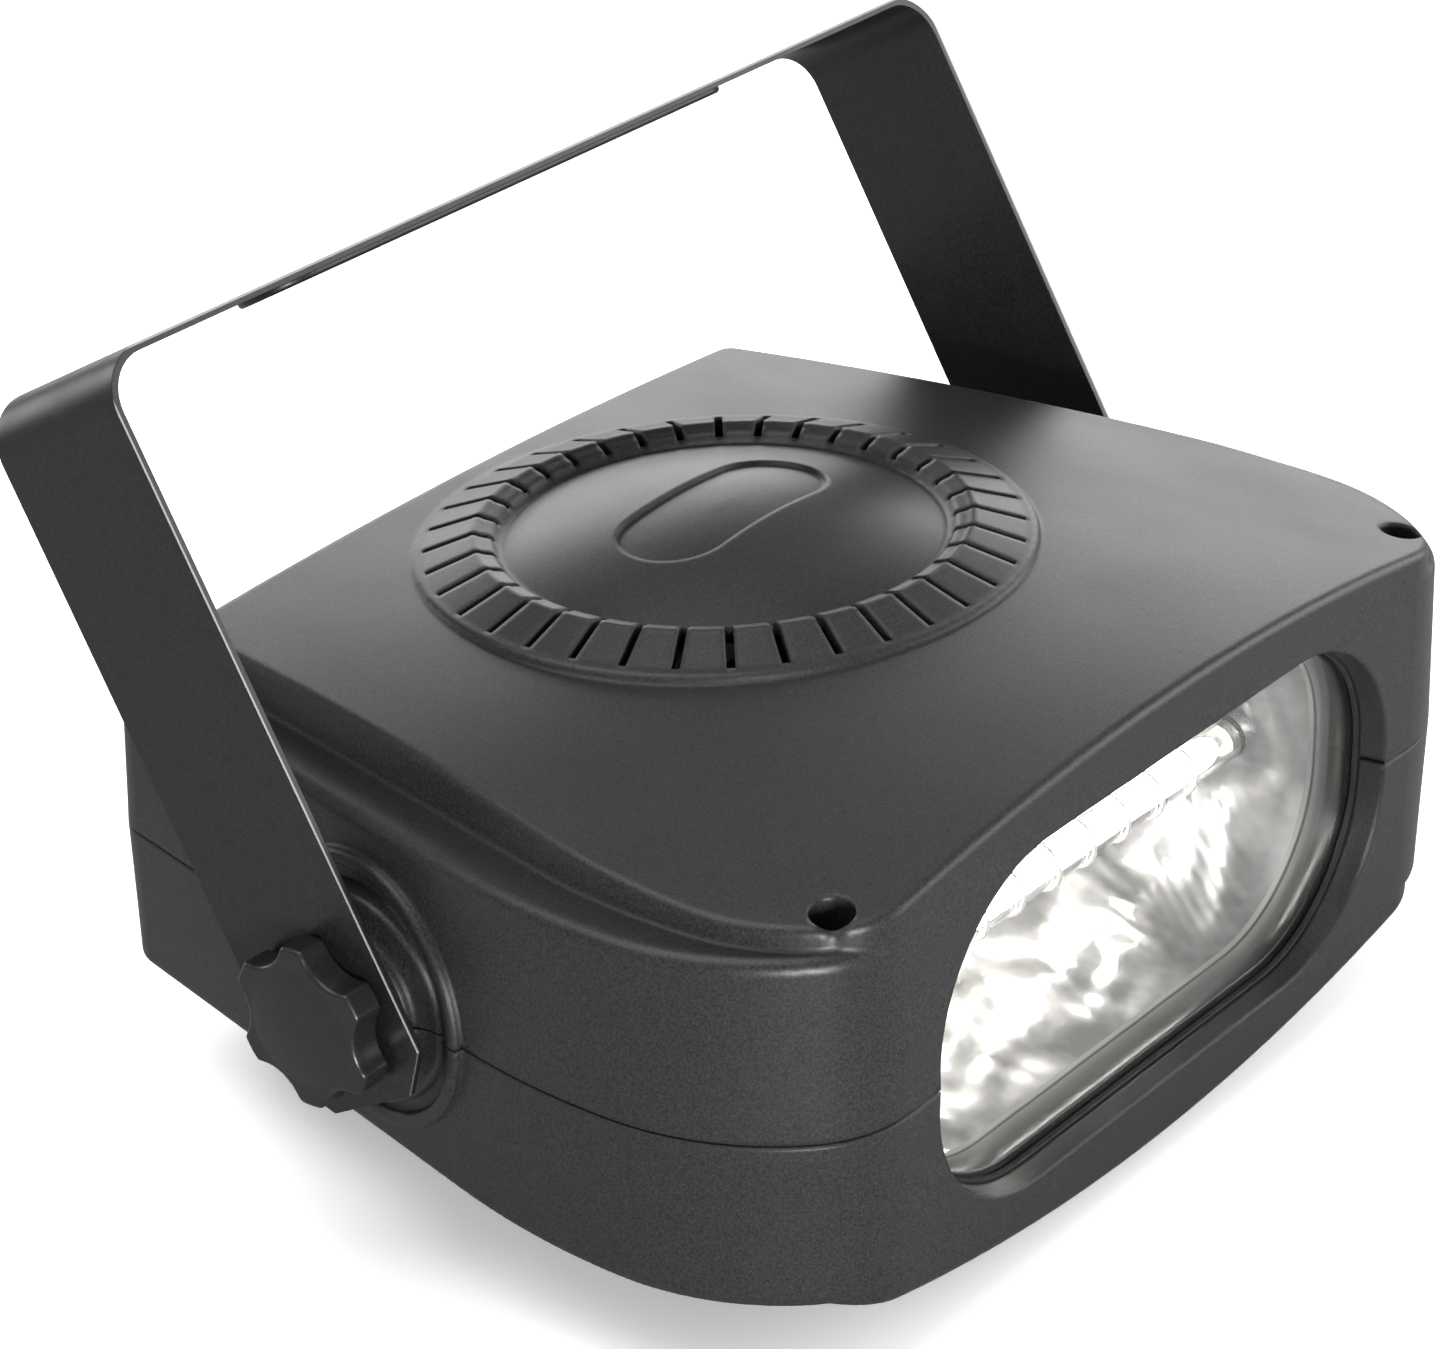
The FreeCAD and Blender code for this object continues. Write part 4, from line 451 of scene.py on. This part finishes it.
# ---------------------------------------------------------------- surfaces worked out with numpy
def grid_piece(name, points, body, slot, ends="closed"):
    """Mesh over rings of points (rings, points round a ring, 3), joined ring to ring.

    The first and last ring are closed with a face each, or joined to each other where ends is "joined",
    or only the last is closed where ends is "open first".
    """
    rings, count = points.shape[:2]
    mesh = bpy.data.meshes.new(name)
    index = np.arange(rings * count).reshape(rings, count)
    following = np.roll(index, -1, axis=0) if ends == "joined" else index[1:]
    here = index if ends == "joined" else index[:-1]
    quads = np.stack([here, np.roll(here, -1, axis=1), np.roll(following, -1, axis=1), following], axis=-1)
    faces = quads.reshape(-1, 4).tolist()
    if ends != "joined":
        faces.append(index[-1].tolist())
    if ends == "closed":
        faces.append(index[0][::-1].tolist())
    mesh.from_pydata(points.reshape(-1, 3).tolist(), [], faces)
    mesh.polygons.foreach_set("use_smooth", np.ones(len(mesh.polygons), bool))
    mesh.update()
    piece = bpy.data.objects.new(name, mesh)
    bpy.context.scene.collection.objects.link(piece)
    mesh.materials.append(FINISHES[slot])
    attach(piece, body)
    return piece


def round_axis(x, centre, radius, angle):
    """Points at x about an axis along X: the centre plus the radius times the angle's cosine and sine."""
    y = centre[1] + radius * np.cos(angle)
    z = centre[2] + radius * np.sin(angle)
    return np.stack([x + 0 * angle, y, z], -1)


def xenon_arc():
    """Glowing gas inside the tube: a cylinder about the tube's axis, its ends drawn in by a steep power."""
    share = np.linspace(-1, 1, 60)[:, None]
    around = np.linspace(0, 2 * np.pi, 32, endpoint=False)
    radius = ARC_SHARE * TUBE_R * np.clip(1 - np.abs(share) ** 24, 0.02, 1)
    half = (TUBE_HIGH[0] - TUBE_LOW[0]) / 2 - ARC_END
    points = round_axis(TUBE_CENTRE[0] + share * half, TUBE_CENTRE, radius, around)
    piece = grid_piece("xenon_arc", points, "housing", "tube_glass")
    glow = new_finish("xenon_glow", (1.0, 0.97, 0.88), 0.5)
    glow_like_arc(glow, ARC_LIGHT)
    piece.data.materials[0] = glow


def rounded_outline(half_w, half_h, radius, count):
    """Points round a rectangle with round corners, evenly spaced.

    A point turns with an angle: the corner's centre in its quadrant plus the radius along the angle.
    Gives x and z about the rectangle's middle, and the length along the outline.
    """
    angle = np.linspace(-np.pi, np.pi, 721)
    c, s = np.cos(angle), np.sin(angle)
    x = np.sign(c) * (half_w - radius) + radius * c
    z = np.sign(s) * (half_h - radius) + radius * s
    length = np.concatenate([[0], np.cumsum(np.hypot(np.diff(x), np.diff(z)))])
    places = np.linspace(0, length[-1], count, endpoint=False)
    return np.interp(places, length, x), np.interp(places, length, z), places


def pressed_waves(place, depth):
    """Waviness of the pressed bowl in metres: three crossing bent sines, and fine flutes on its right half.

    Each sine is a height times the sine of a place over a wavelength, both in millimetres, and is bent by
    a slower sine. The flutes fade on both sides of their middle as a bell curve.
    """
    p, d = place / MM, depth / MM
    waves = 0.2 * np.sin(2 * np.pi * p / 27 + 1.3 * np.sin(2 * np.pi * d / 31))
    waves += 0.13 * np.sin(2 * np.pi * d / 8.5 + 2.2 * np.sin(2 * np.pi * p / 33))
    waves += 0.07 * np.sin(2 * np.pi * (p / 7.3 + d / 6.1) + 2 * np.sin(2 * np.pi * p / 19))
    flutes = 0.05 * np.sin(2 * np.pi * p / 2.6) * np.exp(-((p - FLUTES_AT) / 16) ** 2)
    return (waves + flutes) * MM


def lamp_bowl():
    """Bright trough behind the window: outlines with round corners, smaller ring by ring.

    Half the height goes as the square root of one less a share of the depth. Each point is moved off its
    outline by the pressed waves, and the back shrinks to a small flat patch.
    """
    count, rings, back_rings = 520, 64, 10
    rim_w, rim_h = BOWL_HIGH[0] - BOWL_EDGE, (BOWL_HIGH[2] - BOWL_LOW[2]) / 2 - BOWL_EDGE
    rows = []
    shares = np.concatenate([np.linspace(0, 1, rings) ** 1.2, np.ones(back_rings)])
    shrink = np.concatenate([np.ones(rings), np.linspace(0.93, 0.02, back_rings)])
    for share, scale in zip(shares, shrink):
        half_h = rim_h * math.sqrt(1 - BOWL_TAPER * share)
        half_w = rim_w - (rim_h - half_h) * BOWL_SIDE_TAPER
        corner = min(BOWL_CORNER, half_h * BOWL_CORNER_SHARE)
        x, z, place = rounded_outline(half_w, half_h, corner, count)
        out = np.stack([np.gradient(z), -np.gradient(x)], -1)
        out /= np.linalg.norm(out, axis=-1, keepdims=True)
        wave = pressed_waves(place, share * BOWL_DEPTH) * min(1, 6 * share) * scale
        x = (x + out[:, 0] * wave) * scale
        y = np.full(count, BOWL_START + share * BOWL_DEPTH)
        z = SEAM_Z + (z + out[:, 1] * wave) * scale
        rows.append(np.stack([x, y, z], -1))
    piece = grid_piece("lamp_bowl", np.array(rows), "housing", "reflector_bright", "open first")
    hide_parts("reflector")
    wall = piece.modifiers.new("wall", "SOLIDIFY")
    wall.thickness = BOWL_WALL
    wall.offset = -1


def bowl_collar():
    """Satin band in front of the bowl: an outline swept round the window with a closed rounded section."""
    count = 320
    half_w, half_h = BOWL_HIGH[0] - COLLAR_EDGE, (BOWL_HIGH[2] - BOWL_LOW[2]) / 2 - COLLAR_EDGE
    start, end = BOWL_LOW[1] + COLLAR_GAP, BOWL_START + COLLAR_LAP
    turn = np.linspace(np.pi, 0, 9)
    front_out = COLLAR_T / 2 * (1 + np.cos(turn))
    front_y = start + COLLAR_T / 2 * (1 - np.sin(turn))
    outward = np.concatenate([[0], front_out, [COLLAR_T]])
    depth = np.concatenate([[end], front_y, [end]])
    rows = []
    for out, y in zip(outward, depth):
        x, z, _ = rounded_outline(half_w + out, half_h + out, COLLAR_CORNER + out, count)
        rows.append(np.stack([x, np.full(count, y), SEAM_Z + z], -1))
    piece = grid_piece("bowl_collar", np.array(rows[::-1]), "housing", "reflector_bright", "joined")
    piece.data.materials[0] = collar_with_painted_shading()


def knob_outline(angle):
    """Distance from the knob's axis to its edge: a circle with hollows scooped out by smaller circles.

    The nearer of the two is taken at each angle, blended over a few tenths of a millimetre.
    """
    step = 2 * np.pi / KNOB_LOBES
    off = np.mod(angle - KNOB_PHASE, step) - step / 2
    middle = KNOB_WAIST_R + SCOOP_R
    reach = np.maximum(SCOOP_R ** 2 - (middle * np.sin(off)) ** 2, 0)
    scoop = np.where(reach > 0, middle * np.cos(off) - np.sqrt(reach), 2 * KNOB_R)
    return -KNOB_BLEND * np.log(np.exp(-KNOB_R / KNOB_BLEND) + np.exp(-scoop / KNOB_BLEND))


def clamp_knob(side):
    """Six-lobed knob: a straight wall, a quarter-round rim, and a face that falls with the radius squared.

    Outside the domed middle the face falls in a straight slope to the tips of the lobes.
    """
    low, high = span(side + "_clamp_knob")
    outward = 1 if low[0] > 0 else -1
    foot, crown = (low[0], high[0]) if low[0] > 0 else (high[0], low[0])
    around = outward * np.linspace(0, 2 * np.pi, 288, endpoint=False)
    edge = knob_outline(around)
    face_edge = edge - KNOB_ROUND
    turn = np.linspace(0, np.pi / 2, 9)[:, None]
    share = np.linspace(1, 0.02, 30)[1:, None]
    wall = [edge - KNOB_CHAMFER, edge, edge]
    wall_heights = KNOB_CHAMFER * np.array([[0], [1], [2.5]])
    first, last = len(wall), len(wall) + len(turn)
    radius = np.concatenate([wall, edge - KNOB_ROUND * (1 - np.cos(turn)), face_edge * share])
    inside = np.concatenate([[face_edge] * last, face_edge * share])
    fall = DOME_DROP * np.minimum(inside / DOME_R, 1) ** 2 + LOBE_SLOPE * np.maximum(inside - DOME_R, 0)
    x = crown - outward * fall
    x[first:last] -= outward * KNOB_ROUND * (1 - np.sin(turn))
    x[:first] = foot + outward * wall_heights
    points = round_axis(x, (low + high) / 2, radius, around)
    piece = grid_piece(side + "_lobed_knob", points, side + "_clamp", "knob_plastic")
    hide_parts(side + "_clamp_knob")


xenon_arc()
lamp_bowl()
bowl_collar()
clamp_knob("left")
clamp_knob("right")

# ---------------------------------------------------------------- room, lamps, camera
FLOOR_REACH = 6.0
FLOOR_PAPER = 0.48           # what the floor sends back on the object
FLOOR_SEEN = 1.6             # the same, as the camera sees it
FLOOR_LIFT = 0.09            # light added where the camera looks at the floor
ROOM_LIGHT = 0.33
OBJECT_MIDDLE = (0.0, 0.0, 0.05)
CAMERA_PLACE = Vector((-0.50825, -0.40712, 0.40745))
CAMERA_AZIMUTH = math.radians(-50.98)
CAMERA_RISE = math.radians(28.17)
CAMERA_ROLL = math.radians(-0.57)
CAMERA_LENS = 114.59


def floor():
    """Pale floor that keeps the soft shadow and reads white to the camera."""
    mesh = bpy.data.meshes.new("floor")
    corners = [(-1, -1), (1, -1), (1, 1), (-1, 1)]
    mesh.from_pydata([(FLOOR_REACH * x, FLOOR_REACH * y, 0) for x, y in corners], [], [(0, 1, 2, 3)])
    piece = bpy.data.objects.new("floor", mesh)
    bpy.context.scene.collection.objects.link(piece)
    material = bpy.data.materials.new("floor_paper")
    material.use_nodes = True
    material.node_tree.nodes.clear()
    seen = add_node(material, "ShaderNodeLightPath").outputs["Is Camera Ray"]
    matt = add_node(material, "ShaderNodeBsdfDiffuse")
    link(material, blend(material, seen, grey(FLOOR_PAPER), grey(FLOOR_SEEN)), matt.inputs["Color"])
    lift = add_node(material, "ShaderNodeEmission")
    link(material, operate(material, "MULTIPLY", seen, FLOOR_LIFT), lift.inputs["Strength"])
    both = add_node(material, "ShaderNodeAddShader")
    out = add_node(material, "ShaderNodeOutputMaterial")
    link(material, matt.outputs[0], both.inputs[0])
    link(material, lift.outputs[0], both.inputs[1])
    link(material, both.outputs[0], out.inputs["Surface"])
    mesh.materials.append(material)


def room():
    """White surroundings: full white to the camera and through glass, soft weaker light otherwise."""
    world = bpy.data.worlds.new("studio")
    bpy.context.scene.world = world
    world.use_nodes = True
    back = world.node_tree.nodes["Background"]
    back.inputs["Color"].default_value = (1, 1, 1, 1)
    ray = add_node(world, "ShaderNodeLightPath").outputs
    seen = operate(world, "MAXIMUM", ray["Is Camera Ray"], ray["Is Transmission Ray"])
    link(world, operate(world, "MAXIMUM", seen, ROOM_LIGHT), back.inputs["Strength"])


def soft_lamp(name, place, size, power):
    """Area lamp that faces the object."""
    data = bpy.data.lights.new(name, "AREA")
    data.shape = "RECTANGLE"
    data.size, data.size_y = size
    data.energy = power
    lamp = bpy.data.objects.new(name, data)
    lamp.location = place
    lamp.rotation_mode = "QUATERNION"
    lamp.rotation_quaternion = (Vector(OBJECT_MIDDLE) - Vector(place)).to_track_quat("-Z", "Y")
    bpy.context.scene.collection.objects.link(lamp)


def camera():
    """Looks down at the front left corner, level but for a slight roll."""
    a, e = CAMERA_AZIMUTH, CAMERA_RISE
    back = Vector((math.sin(a) * math.cos(e), -math.cos(a) * math.cos(e), math.sin(e)))
    level = Vector((math.cos(a), math.sin(a), 0))
    right = level * math.cos(CAMERA_ROLL) + back.cross(level) * math.sin(CAMERA_ROLL)
    up = back.cross(right)
    data = bpy.data.cameras.new("camera")
    data.sensor_width = 36.0
    data.lens = CAMERA_LENS
    data.clip_start, data.clip_end = 0.05, 20.0
    eye = bpy.data.objects.new("camera", data)
    turn = Matrix((right, up, back)).transposed().to_4x4()
    eye.matrix_world = Matrix.Translation(CAMERA_PLACE) @ turn
    bpy.context.scene.collection.objects.link(eye)
    bpy.context.scene.camera = eye


floor()
room()
soft_lamp("rear_sheen", (0.82, 0.69, 0.34), (1.3, 0.5), 6.4)
soft_lamp("overhead", (-0.25, 0.3, 1.25), (1.1, 1.1), 8.5)
soft_lamp("rear_left", (-0.08, 1.05, 0.2), (0.4, 0.3), 1.2)
soft_lamp("left_strip", (-0.6, -0.78, 0.14), (0.2, 0.2), 9.0)
soft_lamp("right_front", (0.85, -0.7, 0.36), (1.3, 0.6), 8.5)
camera()
bpy.context.scene.view_settings.view_transform = "Standard"
